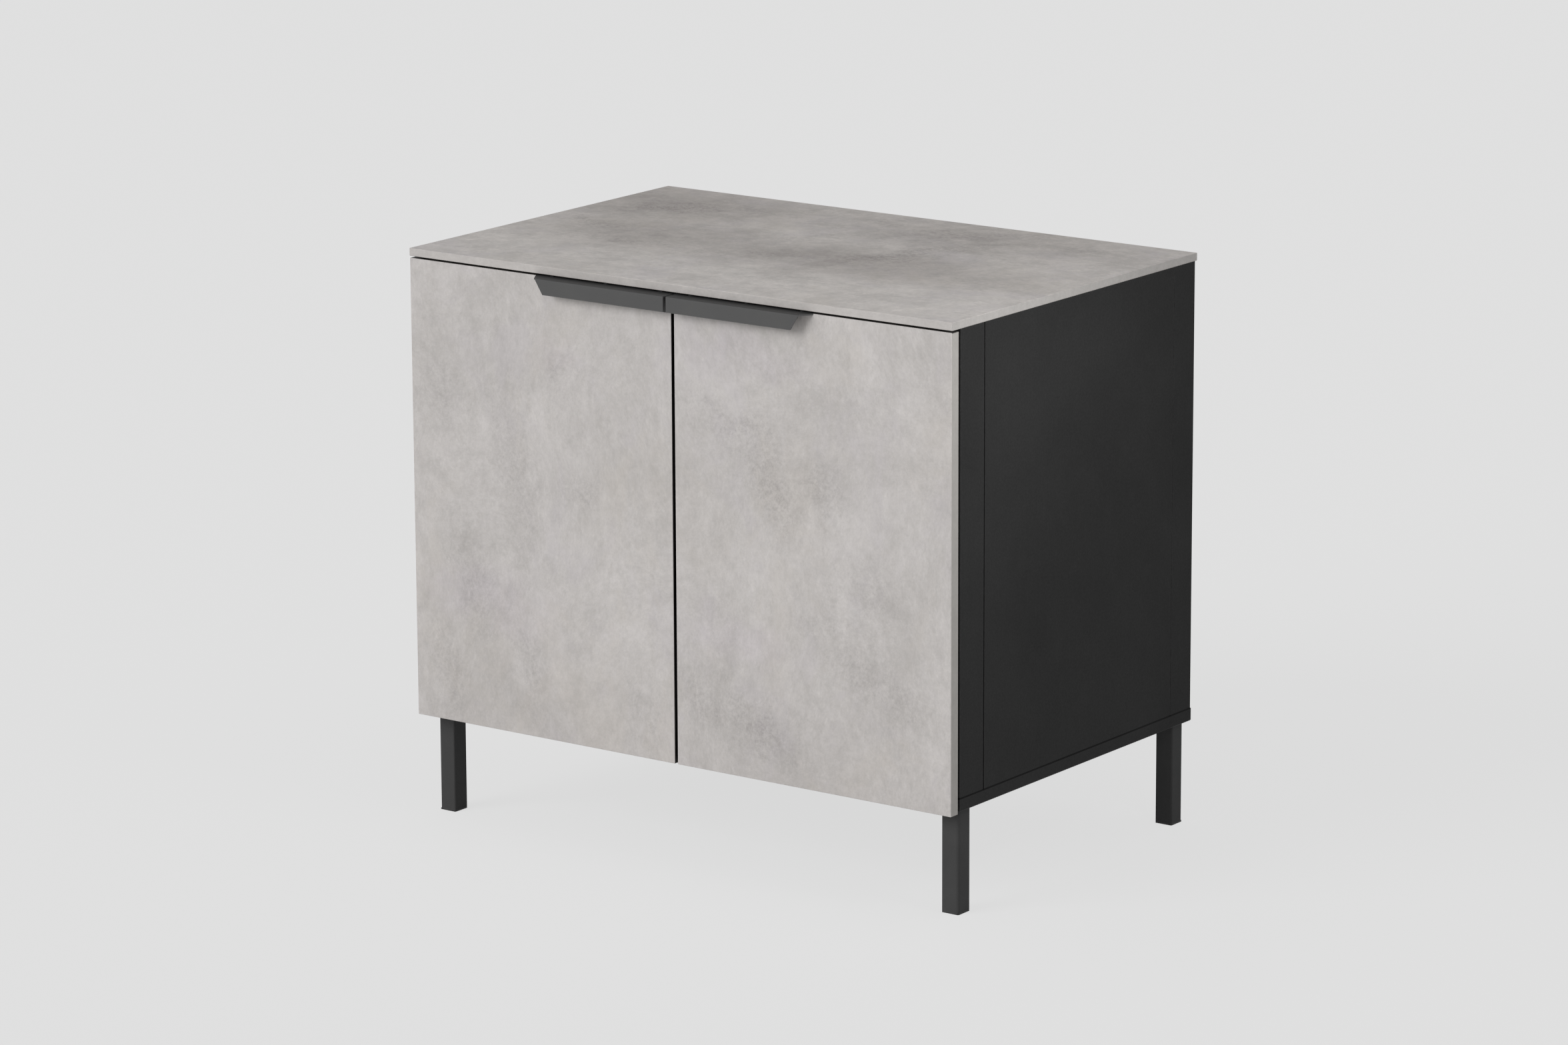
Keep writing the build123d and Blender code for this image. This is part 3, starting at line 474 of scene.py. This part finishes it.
def turned(radii, heights, around):
    """A solid of revolution about the Y axis. Ring i has radius radii[i] and stands at heights[i], and its
    point j lies at angle 2 pi j / around. One point closes each end. Heights rise towards +Y."""
    angle = np.arange(around) * 2 * np.pi / around
    rings = np.stack([
        np.outer(radii, np.cos(angle)),
        np.repeat(heights[:, None], around, 1),
        np.outer(radii, np.sin(angle)),
    ], -1).reshape(-1, 3)
    places = np.vstack([rings, [[0, heights[0], 0], [0, heights[-1], 0]]])
    start, end, last = len(rings), len(rings) + 1, len(rings) - around
    step = np.arange(around)
    following = (step + 1) % around
    caps = np.vstack([
        np.stack([np.full(around, start), step, following], -1),
        np.stack([np.full(around, end), last + following, last + step], -1),
    ])
    return places, ring_walls(len(radii), around)[:, ::-1], caps


def rounded_rectangle(low, high, radius, inset):
    """A rectangle with rounded corners, drawn in by the inset: from each corner's centre the radius less the
    inset, times the cosine and the sine of a quarter turn, one corner after the other."""
    turn = np.linspace(0, math.pi / 2, CORNER_POINTS)
    centres = (
        (high[0] - radius, high[1] - radius), (low[0] + radius, high[1] - radius),
        (low[0] + radius, low[1] + radius), (high[0] - radius, low[1] + radius),
    )
    return np.vstack([
        np.array(centre) + (radius - inset) * np.stack([
            np.cos(turn + quarter * math.pi / 2), np.sin(turn + quarter * math.pi / 2),
        ], -1)
        for quarter, centre in enumerate(centres)
    ])


def soft_patches(through, level, rows):
    """Soft patches along the face of a board whose thickness lies on one axis, at a level on it. A row holds
    a patch's place on the two other axes, its half length and half width, its turn in degrees and its
    strength."""
    patches = []
    for along, up, length, width, degrees, strength in rows:
        middle, reach, turn = [along, up], [length, width], [0, 0]
        middle.insert(through, level)
        reach.insert(through, PATCH_DEPTH)
        # A turn about Y runs the other way round in a picture of the front
        turn.insert(through, math.radians(-degrees if through == Y else degrees))
        patches.append(Patch(middle, reach, turn, strength))
    return patches


def colour_setting(name, description, code):
    """A colour that a user can change, from its sRGB hex value."""
    return FloatVectorProperty(name=name, description=description, subtype="COLOR", default=linear(code))


def length_setting(name, description, default, least):
    """A length that a user can change, in metres."""
    return FloatProperty(name=name, description=description, default=default, min=least, unit="LENGTH")


class CabinetCement(bpy.types.PropertyGroup):
    """The cement-look print of the worktop and the doors."""

    light: colour_setting("Light grey", "The print's palest grey", "#C6C2C0")
    middle: colour_setting("Middle grey", "The print's usual cloud", "#AFABA8")
    warm: colour_setting("Warm grey", "The print's beige haze", "#BEB8B1")
    violet: colour_setting("Violet grey", "The print's cool haze", "#B8B3B6")
    shade: colour_setting("Shade", "The print's darker mottles", "#A09C99")
    fleck: colour_setting("Fleck", "What the patches' fine flecks multiply the print by", "#CAC8C9")
    violet_haze: colour_setting("Violet haze", "What the cool hazes multiply the print by", "#FBF8FF")
    # Painted shade: the dark hazes darken the worktop towards its back and the doors towards the bottom
    painted_shade_tint: colour_setting("Dark haze", "What the dark hazes multiply the print by", "#D6D4D3")
    band: colour_setting("Edge band", "The plain narrow faces", "#A4A19D")
    # Painted shade: the near-black bands where the doors meet, standing for the shade in the gap
    meeting_shade: colour_setting("Meeting edge", "The doors' dark bands where they meet", "#1E1C1B")
    # Painted shade: the darker band along each door's top, which lies in shadow under the worktop
    top_band_shade: colour_setting("Top band", "The doors' darker upper bands", "#3A3836")
    slab_band: colour_setting("Slab edge", "The worktop's front and back faces", "#B9B5B2")
    slab: colour_setting("Slab grey", "The worktop's palest grey", "#C9C4C0")
    end: colour_setting("Cut end", "The worktop's cut ends", "#ABA8A5")
    # Edges drawn lighter, for wear and as a painted highlight
    rubbed: colour_setting("Rubbed edge", "Where an edge is handled", "#CFCCC9")
    warp_size: length_setting("Warp size", "Across one bend of a patch's border", 0.09, 0.01)
    warp: length_setting("Warp", "How far a patch's border strays", 0.16, 0.0)
    fleck_size: length_setting("Fleck size", "Across one fleck", 0.006, 0.001)
    mottle_size: length_setting("Mottle size", "Across one fine mottle", 0.018, 0.001)
    streak_width: length_setting("Streak width", "Across one streak of the print", 0.002, 0.0005)
    streak_length: length_setting("Streak length", "Along one streak of the print", 0.035, 0.005)
    grain_size: length_setting("Grain size", "Across one grain of the pressed resin", 0.0015, 0.0001)
    grain_height: length_setting("Grain height", "How far the grain stands up", 0.00004, 0.0)
    edge_width: length_setting("Edge width", "How far rubbing reaches from an edge", 0.0012, 0.0001)


class CabinetBoard(bpy.types.PropertyGroup):
    """The dark melamine boards of the carcass."""

    dark: colour_setting("Dark", "The board's main colour", "#2D2D2D")
    light: colour_setting("Light", "The board's faint clouds", "#323232")
    # Edges drawn lighter, for wear and as a painted highlight
    rubbed: colour_setting("Rubbed edge", "Where an edge is handled", "#646464")
    back: colour_setting("Back", "The thin back panel", "#303030")
    # Painted shade: the closed joints drawn dark with the shade of their arrises
    seam: colour_setting("Seam", "The boards' closed joints", "#161616")
    joint_gap: length_setting("Joint gap", "Between a front post and its side panel", 0.0012, 0.0)
    seam_width: length_setting("Seam width", "Across a joint with its two arrises", 0.0026, 0.0005)
    pearl_size: length_setting("Pearl size", "Across one dimple of the press plate", 0.0016, 0.0002)
    pearl_height: length_setting("Pearl height", "Depth of the dimples", 0.00006, 0.0)
    edge_width: length_setting("Edge width", "How far rubbing reaches from an edge", 0.0010, 0.0001)


class CabinetCoating(bpy.types.PropertyGroup):
    """The powder coat of the legs and the handles, and the dark plates behind the handles' flaps, which are
    painted shade.
    """

    leg: colour_setting("Leg", "The legs' colour", "#414141")
    # Painted shade: the legs' faces that look up are drawn darker
    leg_top_shade: colour_setting("Leg's upper faces", "The plates' faces that look up", "#3A3A3A")
    leg_speck: colour_setting("Leg speck", "Specks in the legs' coat", "#4D4D4D")
    handle: colour_setting("Handle", "The handles' colour", "#565656")
    # Painted shade: the handles' upper faces under the worktop are drawn darker
    handle_top_shade: colour_setting("Handle's upper face", "The flange under the worktop", "#404040")
    handle_speck: colour_setting("Handle speck", "Specks in the handles' coat", "#5C5C5B")
    # Edges drawn lighter, for wear and as a painted highlight
    rubbed: colour_setting("Rubbed edge", "Where an edge is handled", "#7A7A7A")
    # Painted shade: the plate behind each handle's flap is a dark sheet that stands for the shade there
    plate_inset: length_setting("Plate inset", "From the handle's inner end to the plate", 0.0008, 0.0)
    plate_length: length_setting("Plate length", "Along the plate behind the flap", 0.200, 0.01)
    plate_drop: length_setting("Plate drop", "How far the plate reaches below the flap", 0.0045, 0.0)
    plate_thickness: length_setting("Plate thickness", "How far it stands off the door", 0.0011, 0.0001)
    plate_corner: length_setting("Plate corner", "Radius of the plate's corners", 0.002, 0.0005)
    pebble_size: length_setting("Pebble size", "Across one pebble of the coat", 0.0009, 0.0001)
    pebble_height: length_setting("Pebble height", "Height of the coat's pebbles", 0.00003, 0.0)
    edge_width: length_setting("Edge width", "How far rubbing reaches from an edge", 0.0008, 0.0001)


class CabinetMetal(bpy.types.PropertyGroup):
    """The plated and cast metal of the hinges, screws and cams."""

    nickel: colour_setting("Nickel", "Nickel plating", "#C9C5BE")
    nickel_stain: colour_setting("Nickel stain", "Faint stains in the nickel", "#B3ADA3")
    zinc: colour_setting("Zinc", "Zinc plating", "#C3C7CC")
    zinc_stain: colour_setting("Zinc stain", "Faint stains in the zinc", "#B9BDB4")
    cast: colour_setting("Cast zinc", "The cams' bare casting", "#A6A8AB")
    cast_stain: colour_setting("Cast stain", "Faint stains in the casting", "#8E9094")
    bright: colour_setting("Bright edge", "Rubbed plating", "#E2E2E0")


class CabinetTrim(bpy.types.PropertyGroup):
    """The buffers, the leg caps and the dowels."""

    buffer: colour_setting("Buffer", "The doors' soft buffers", "#B9B9B3")
    buffer_haze: colour_setting("Buffer haze", "Cloudiness in the buffers", "#CACAC6")
    cap: colour_setting("Cap", "The legs' plastic caps", "#1D1D1D")
    cap_haze: colour_setting("Cap haze", "Cloudiness in the caps", "#262626")
    dust: colour_setting("Dust", "Dust on small edges", "#5C5B58")
    beech_pale: colour_setting("Pale beech", "The dowels' pale wood", "#D6B68C")
    beech_dark: colour_setting("Dark beech", "The dowels' dark grain", "#B88E60")
    beech_fleck: colour_setting("Beech fleck", "The dowels' ray flecks", "#8A5F3A")
    dome: FloatProperty(
        name="Dome squareness", description="2 is a round dome, and more is flatter on top",
        default=3.0, min=2.0, max=8.0)


class CabinetStage(bpy.types.PropertyGroup):
    """The floor, the lamps and the camera."""

    backdrop: colour_setting("Backdrop", "The background as the camera sees it", "#DFDFDF")
    sweep: colour_setting("Sweep", "The floor's own share of what the camera sees", "#E1E1E1")
    floor_size: length_setting("Floor size", "Across the square floor", 80.0, 5.0)
    sky: FloatProperty(name="Sky", description="Even light from all round", default=0.47, min=0.0)
    key: FloatProperty(name="Key", description="Soft light from the front left", default=1.71, min=0.0)
    fill: FloatProperty(
        name="Fill", description="Soft lamp beside the right side's front edge",
        default=1.1, min=0.0, subtype="POWER", unit="POWER")
    shadow: FloatProperty(
        name="Shadow", description="How much of its shadow the floor shows",
        default=0.10, min=0.0, max=1.0, subtype="FACTOR")
    lens: FloatProperty(name="Lens", description="Focal length in millimetres", default=139.98, min=20.0)
    azimuth: FloatProperty(
        name="Azimuth", description="Turn of the camera's view to the left of straight back",
        default=math.radians(36.254), subtype="ANGLE")
    elevation: FloatProperty(
        name="Elevation", description="How far the camera looks down",
        default=math.radians(13.333), subtype="ANGLE")
    roll: FloatProperty(
        name="Roll", description="Turn about the line of sight",
        default=math.radians(-0.271), subtype="ANGLE")
    place: FloatVectorProperty(
        name="Place", description="Where the camera stands",
        default=(5.3297, -7.3068, 2.6129), subtype="XYZ", unit="LENGTH")


class CABINET_OT_worktop(bpy.types.Operator):
    """Finish the worktop in compact laminate with a cement print, streaked along its length"""

    bl_idname = "cabinet.worktop"
    bl_label = "Worktop"

    def execute(self, context):
        look = context.scene.cabinet_cement
        end, _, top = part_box("worktop")[1]
        clouds = (
            Cloud(0.12, (0.9, 1, 1), 5.0, 1.0, 0.1, 0.34, 0.66, 0.60, look.middle),
            Cloud(0.07, (0.9, 1, 1), 5.0, 0.8, 0.15, 0.43, 0.63, 0.42, look.shade),
            Cloud(0.12, (0.9, 1, 1), 7.0, 0.7, 0.3, 0.5, 0.66, 0.35, look.violet),
            Cloud(0.20, (0.9, 1, 1), 6.0, 0.7, 0.3, 0.5, 0.7, 0.4, look.warm),
        )
        # Painted shade: these patches darken the top towards its back and middle
        back = soft_patches(Z, top, (
            (-0.40, 0.22, 0.55, 0.30, 0, 1.0), (0.15, 0.24, 0.65, 0.26, 0, 0.75),
            (0.1, -0.02, 0.6, 0.2, 0, 1.0), (-0.25, 0.0, 0.40, 0.22, 0, 0.9),
        ))
        patches = soft_patches(Z, top, (
            (-0.35, 0.19, 0.17, 0.06, 20, 1.0), (-0.41, 0.01, 0.13, 0.05, -18, 0.9),
            (-0.27, -0.07, 0.12, 0.04, -6, 0.7), (0.153, 0.088, 0.24, 0.06, 60, 1.0),
            (0.124, 0.012, 0.13, 0.05, 21, 0.8), (-0.035, 0.264, 0.10, 0.04, 1, 0.6),
            (0.135, 0.246, 0.16, 0.05, 28, 0.9), (-0.044, -0.06, 0.16, 0.03, 15, 0.6),
            (0.36, 0.25, 0.12, 0.04, 10, 0.6), (-0.05, 0.10, 0.12, 0.03, 30, 0.5),
        ))
        coat(["worktop"], cement_print(
            "cement_compact_laminate", look, look.slab, clouds, ((look.painted_shade_tint, back),), patches,
            Fine(mottle=0.08, along=0.008, across=0.006, rubbed=0.06), X, Z,
            look.slab_band, (Span(X, end - CUT_REACH, end + CUT_REACH, look.end),),
        ))
        return {"FINISHED"}


class CABINET_OT_doors(bpy.types.Operator):
    """Finish both doors in melamine with a cement print, streaked upwards, and a plain edge band"""

    bl_idname = "cabinet.doors"
    bl_label = "Doors"

    def execute(self, context):
        look = context.scene.cabinet_cement
        (inner, _, _), (_, _, top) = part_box("right_door")
        clouds = (
            Cloud(0.24, (1, 1, 0.8), 7.0, 1.0, 0.3, 0.26, 0.74, 0.95, look.middle),
            Cloud(0.05, (1, 1, 0.8), 5.0, 0.9, 0.5, 0.50, 0.70, 0.25, look.shade),
            Cloud(0.12, (1, 1, 0.8), 7.0, 0.7, 0.6, 0.5, 0.66, 0.30, look.violet),
            Cloud(0.18, (1, 1, 0.7), 6.0, 0.7, 0.6, 0.5, 0.68, 0.30, look.warm),
        )
        violet = soft_patches(Y, DOOR_LEVEL, (
            (-0.36, 0.36, 0.20, 0.07, 0, 0.5), (0.113, 0.358, 0.14, 0.06, 0, 0.5),
            (0.153, 0.80, 0.18, 0.05, 0, 0.4), (-0.224, 0.755, 0.07, 0.05, 0, 0.4),
        ))
        # Painted shade: these patches darken the doors towards the bottom
        low = soft_patches(Y, DOOR_LEVEL, (
            (-0.3, 0.15, 0.45, 0.22, 0, 0.25), (0.25, 0.15, 0.45, 0.22, 0, 0.25),
        ))
        patches = soft_patches(Y, DOOR_LEVEL, (
            (0.116, 0.685, 0.12, 0.06, -6, 0.52), (0.177, 0.619, 0.12, 0.07, -51, 0.68),
            (0.279, 0.612, 0.09, 0.07, -28, 0.6), (0.067, 0.269, 0.1, 0.07, -24, 0.52),
            (0.156, 0.226, 0.12, 0.07, -17, 0.68), (0.373, 0.326, 0.12, 0.07, -22, 0.45),
            (0.296, 0.405, 0.16, 0.06, -5, 0.3), (0.368, 0.475, 0.09, 0.06, -23, 0.38),
            (0.321, 0.741, 0.12, 0.05, -7, 0.22), (-0.304, 0.565, 0.2, 0.06, -79, 0.45),
            (-0.38, 0.363, 0.21, 0.07, -68, 0.45), (-0.212, 0.726, 0.09, 0.06, -20, 0.45),
            (-0.278, 0.268, 0.16, 0.06, -71, 0.45), (-0.171, 0.547, 0.06, 0.05, -26, 0.45),
            (-0.049, 0.215, 0.07, 0.06, -41, 0.38), (-0.448, 0.242, 0.16, 0.06, -71, 0.45),
            (-0.438, 0.683, 0.07, 0.06, -34, 0.38),
        ))
        coat([f"{side}_door" for side in SIDES], cement_print(
            "cement_melamine", look, look.light, clouds,
            ((look.violet_haze, violet), (look.painted_shade_tint, low)), patches,
            Fine(mottle=0.06, along=0.004, across=0.005, rubbed=0.25), Z, Y,
            look.band, (
                # Painted shade: the dark band along each door's top and the dark band where the doors meet
                Span(Z, top - TOP_BELOW, top + TOP_ABOVE, look.top_band_shade),
                Span(X, 0.0, inner + MEETING_SHADE_REACH, look.meeting_shade),
            ),
        ))
        return {"FINISHED"}


class CABINET_OT_carcass(bpy.types.Operator):
    """Finish the posts, side panels, bottom board, rails, shelf and back in dark melamine"""

    bl_idname = "cabinet.carcass"
    bl_label = "Carcass"

    def execute(self, context):
        look = context.scene.cabinet_board
        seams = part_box("bottom_board")[1][2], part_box("right_front_post")[1][1] + look.joint_gap / 2
        colours, back = (look.dark, look.light, look.rubbed), (look.back, look.dark, look.rubbed)
        melamine = plain_board("anthracite_melamine", look, colours, BOARD_FIBRE, *seams)
        hardboard = plain_board("lacquered_hardboard", look, back, HARDBOARD_FIBRE, *seams)
        uprights = [f"{side}_{part}" for side in SIDES for part in ("front_post", "side_panel", "rear_post")]
        coat([*uprights, "bottom_board", "front_rail", "rear_rail", "shelf"], melamine)
        coat(["back_panel"], hardboard)
        return {"FINISHED"}


class CABINET_OT_legs(bpy.types.Operator):
    """Finish the legs in powder coat and their caps in moulded polyethylene"""

    bl_idname = "cabinet.legs"
    bl_label = "Legs"

    def execute(self, context):
        look, trim = context.scene.cabinet_coating, context.scene.cabinet_trim
        legs = [f"{row}_{side}_leg" for row in ROWS for side in SIDES]
        # The legs' faces that look up are drawn darker, as painted shade
        fine_texture = (look.leg, look.leg_speck, look.rubbed, look.leg_top_shade)
        coat(legs, powder_coat("fine_texture_powder_coat", look, fine_texture, roughness=(0.43, 0.55)))
        black = (trim.cap, trim.cap_haze, trim.dust)
        plastic = moulded("moulded_polyethylene", black, roughness=(0.50, 0.60), grain=0.0006)
        coat([f"{leg}_cap" for leg in legs], plastic)
        return {"FINISHED"}


class CABINET_OT_handles(bpy.types.Operator):
    """Finish the bent sheet handles in satin powder coat"""

    bl_idname = "cabinet.handles"
    bl_label = "Handles"

    def execute(self, context):
        look = context.scene.cabinet_coating
        # The handles' upper faces are drawn darker, as painted shade
        colours = (look.handle, look.handle_speck, look.rubbed, look.handle_top_shade)
        satin = powder_coat("satin_powder_coat", look, colours, roughness=(0.37, 0.49))
        coat([f"{side}_handle" for side in SIDES], satin)
        return {"FINISHED"}


class CABINET_OT_shade_plates(bpy.types.Operator):
    """Put a thin dark plate on each door's front behind its handle's flap, as painted shade in the hollow
    there
    """

    bl_idname = "cabinet.back_plates"
    bl_label = "Handle back plates"

    def execute(self, context):
        look = context.scene.cabinet_coating
        satin = bpy.data.materials["satin_powder_coat"]
        for side, sign in SIDES.items():
            handle_low, handle_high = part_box(f"{side}_handle")
            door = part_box(f"{side}_door")[0][1]
            near = min(abs(handle_low[0]), abs(handle_high[0])) + look.plate_inset
            low = near, handle_low[2] - look.plate_drop
            high = near + look.plate_length, handle_high[2] - PLATE_TOP_GAP
            # Three outlines, from the door to the plate's front, the last drawn in by the arris
            front, arris = door - look.plate_thickness, look.plate_thickness / 4
            outlines = [
                (y, rounded_rectangle(low, high, look.plate_corner, inset) * (sign, 1))
                for y, inset in ((door, 0.0), (front + arris, 0.0), (front, arris))
            ]
            places = np.vstack([np.insert(outline, 1, y, axis=1) for y, outline in outlines])
            around = len(places) // len(outlines)
            ends = [np.arange(around)[::-1], np.arange(around) + len(places) - around]
            faces = [*ring_walls(len(outlines), around).tolist(), *(end.tolist() for end in ends)]
            if sign < 0:
                faces = [face[::-1] for face in faces]
            # Painted shade: a dark sheet where there is only the shade behind the flap
            piece = whole_mesh(f"{side}_handle_back_plate", places, faces, satin, smooth=False)
            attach(piece, f"{side}_door")
        return {"FINISHED"}


class CABINET_OT_hinges(bpy.types.Operator):
    """Finish the hinges' cups, arms and plates and the shelf's pins in nickel plating"""

    bl_idname = "cabinet.hinges"
    bl_label = "Hinges"

    def execute(self, context):
        look = context.scene.cabinet_metal
        nickel = plated_steel(
            "bright_nickel_plating", (look.nickel, look.nickel_stain, look.bright),
            roughness=(0.23, 0.39), line_axis=Y, line_width=0.0005)
        hinges = [f"{side}_{height}_hinge" for side in SIDES for height in HEIGHTS]
        coat([f"{hinge}_{piece}" for hinge in hinges for piece in ("cup", "arm", "plate", "pin")], nickel)
        coat(["shelf_pins"], nickel)
        return {"FINISHED"}


class CABINET_OT_fixings(bpy.types.Operator):
    """Finish the screws and bolts in zinc plating, the cams in bare casting and the dowels in beech"""

    bl_idname = "cabinet.fixings"
    bl_label = "Fixings"

    def execute(self, context):
        look, trim = context.scene.cabinet_metal, context.scene.cabinet_trim
        zinc = plated_steel(
            "blue_zinc_plating", (look.zinc, look.zinc_stain, look.bright),
            roughness=(0.28, 0.44), line_axis=Z, line_width=0.0004)
        cast = plated_steel(
            "die_cast_zinc", (look.cast, look.cast_stain, look.bright),
            roughness=(0.43, 0.59), line_axis=X, line_width=0.0012)
        screws = [
            "leg_screws", "base_screws", "cam_bolts", "worktop_screws", "back_screws", "hinge_plate_screws",
            "hinge_arm_screws", *[f"{side}_{piece}_screws" for side in SIDES for piece in ("handle", "cup")],
        ]
        coat(screws, zinc)
        coat(["cam_locks"], cast)
        coat(["rail_dowels"], beech("turned_beech", trim.beech_pale, trim.beech_dark, trim.beech_fleck))
        return {"FINISHED"}


class CABINET_OT_buffers(bpy.types.Operator):
    """Put a domed polyurethane buffer in the place of each plain one on the doors' backs"""

    bl_idname = "cabinet.buffers"
    bl_label = "Buffers"

    def execute(self, context):
        trim = context.scene.cabinet_trim
        colours = (trim.buffer, trim.buffer_haze, trim.buffer_haze)
        soft = moulded("cast_polyurethane", colours, roughness=(0.30, 0.40), grain=0.0008)
        for side in SIDES:
            low, high = (np.array(corner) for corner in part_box(f"{side}_door_buffers"))
            radius, tall = (high[0] - low[0]) / 2, high[1] - low[1]
            # A superellipse quarter from the rim to the top: radius and height are powers of cosine and sine
            turn = np.linspace(0, math.pi / 2, DOME_LEVELS)[:-1]
            radii = radius * np.cos(turn) ** (2 / trim.dome)
            heights = low[1] + tall * np.sin(turn) ** (2 / trim.dome)
            one, walls, caps = turned(radii, heights, DOME_POINTS)
            one[-1, 1] = high[1]
            middle = (low[0] + high[0]) / 2
            places = np.vstack([one + (middle, 0, z) for z in (low[2] + radius, high[2] - radius)])
            faces = []
            for start in (0, len(one)):
                faces += [*(walls + start).tolist(), *(caps + start).tolist()]
            piece = whole_mesh(f"{side}_domed_buffers", places, faces, soft)
            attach(piece, f"{side}_door")
            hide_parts(f"{side}_door_buffers")
        return {"FINISHED"}


def looked_at(tree):
    """1 for what the camera, a reflection or clear glass shows, and 0 for what only lights the scene."""
    path = add(tree, "LightPath")
    shiny = add(tree, "Math", {
        0: path.outputs["Is Glossy Ray"], 1: path.outputs["Is Transmission Ray"],
    }, operation="MAXIMUM")
    return add(tree, "Math", {
        0: path.outputs["Is Camera Ray"], 1: shiny.outputs[0],
    }, operation="MAXIMUM").outputs[0]


class CABINET_OT_stage(bpy.types.Operator):
    """Set up the pale floor and background, the soft lamps and the camera"""

    bl_idname = "cabinet.stage"
    bl_label = "Stage"

    def execute(self, context):
        scene, look = context.scene, context.scene.cabinet_stage
        scene.view_settings.view_transform = "Standard"

        # Floor: a matt white sweep. What the camera and reflections see of it is mostly its own even
        # colour, and the rest shows the object's shadow.
        material, tree = new_finish("white_paper_sweep")
        share = add(tree, "Math", {0: looked_at(tree), 1: 1 - look.shadow}, operation="MULTIPLY")
        paper = add(tree, "BsdfDiffuse", {"Color": solid(PAPER)})
        glow = add(tree, "Emission", {"Color": solid(look.sweep), "Strength": 1.0})
        mixed = add(tree, "MixShader", {0: share.outputs[0], 1: paper.outputs[0], 2: glow.outputs[0]})
        add(tree, "OutputMaterial", {"Surface": mixed.outputs[0]})
        half = look.floor_size / 2
        corners = np.array([[-half, -half, 0], [half, -half, 0], [half, half, 0], [-half, half, 0]])
        whole_mesh("floor", corners, [[0, 1, 2, 3]], material, smooth=False)

        # Background: the backdrop's colour to the camera and in reflections, and even light otherwise
        scene.world = bpy.data.worlds.new("studio")
        scene.world.use_nodes = True
        tree = scene.world.node_tree
        tree.nodes.clear()
        even = add(tree, "Background", {"Color": (1.0, 1.0, 1.0, 1.0), "Strength": look.sky})
        behind = add(tree, "Background", {"Color": solid(look.backdrop), "Strength": 1.0})
        mixed = add(tree, "MixShader", {0: looked_at(tree), 1: even.outputs[0], 2: behind.outputs[0]})
        add(tree, "OutputWorld", {"Surface": mixed.outputs[0]})

        # Lamps: a broad key from the front left, and a small soft fill beside the right side's front edge
        sun = bpy.data.lights.new("key", "SUN")
        sun.energy, sun.angle = look.key, KEY_ANGLE
        linked("key", sun).rotation_euler = KEY_TURN
        square = bpy.data.lights.new("fill", "AREA")
        square.energy, square.shape, square.size, square.spread = look.fill, "SQUARE", FILL_SIZE, FILL_SPREAD
        fill = linked("fill", square)
        fill.location, fill.rotation_euler = FILL_PLACE, FILL_TURN

        # Camera: forward from azimuth and elevation, then rolled about the line of sight
        ahead = np.array([
            -math.sin(look.azimuth) * math.cos(look.elevation),
            math.cos(look.azimuth) * math.cos(look.elevation),
            -math.sin(look.elevation),
        ])
        level = np.array([math.cos(look.azimuth), math.sin(look.azimuth), 0])
        upward = np.cross(level, ahead)
        right = math.cos(look.roll) * level + math.sin(look.roll) * upward
        up = math.cos(look.roll) * upward - math.sin(look.roll) * level
        data = bpy.data.cameras.new("camera")
        data.sensor_fit, data.sensor_width, data.lens = "HORIZONTAL", SENSOR_WIDTH, look.lens
        data.clip_start, data.clip_end = 0.1, 200.0
        camera = linked("camera", data)
        turn = np.eye(4)
        turn[:3] = np.stack([right, up, -ahead, look.place], -1)
        camera.matrix_world = Matrix(turn.tolist())
        scene.camera = camera
        return {"FINISHED"}


class CABINET_PT_panel(bpy.types.Panel):
    """The cabinet's settings and steps"""

    bl_label = "Kitchen Base Cabinet"
    bl_space_type = "VIEW_3D"
    bl_region_type = "UI"
    bl_category = "Cabinet"

    def draw(self, context):
        for group in SETTINGS:
            box = self.layout.box()
            settings = getattr(context.scene, group)
            for name in settings.__annotations__:
                box.prop(settings, name)
        for operator in OPERATORS:
            self.layout.operator(operator.bl_idname)


SETTINGS = {
    "cabinet_cement": CabinetCement,
    "cabinet_board": CabinetBoard,
    "cabinet_coating": CabinetCoating,
    "cabinet_metal": CabinetMetal,
    "cabinet_trim": CabinetTrim,
    "cabinet_stage": CabinetStage,
}
OPERATORS = (
    CABINET_OT_worktop,
    CABINET_OT_doors,
    CABINET_OT_carcass,
    CABINET_OT_legs,
    CABINET_OT_handles,
    CABINET_OT_shade_plates,
    CABINET_OT_hinges,
    CABINET_OT_fixings,
    CABINET_OT_buffers,
    CABINET_OT_stage,
)


def register():
    """Registers the settings, the steps and the panel."""
    for kind in (*SETTINGS.values(), *OPERATORS, CABINET_PT_panel):
        bpy.utils.register_class(kind)
    for name, kind in SETTINGS.items():
        setattr(bpy.types.Scene, name, PointerProperty(type=kind))


def unregister():
    """Removes what register added."""
    for name in SETTINGS:
        delattr(bpy.types.Scene, name)
    for kind in (CABINET_PT_panel, *reversed(OPERATORS), *reversed(SETTINGS.values())):
        bpy.utils.unregister_class(kind)


def main():
    register()
    for operator in OPERATORS:
        space, step = operator.bl_idname.split(".")
        getattr(getattr(bpy.ops, space), step)()


if __name__ == "__main__":
    main()
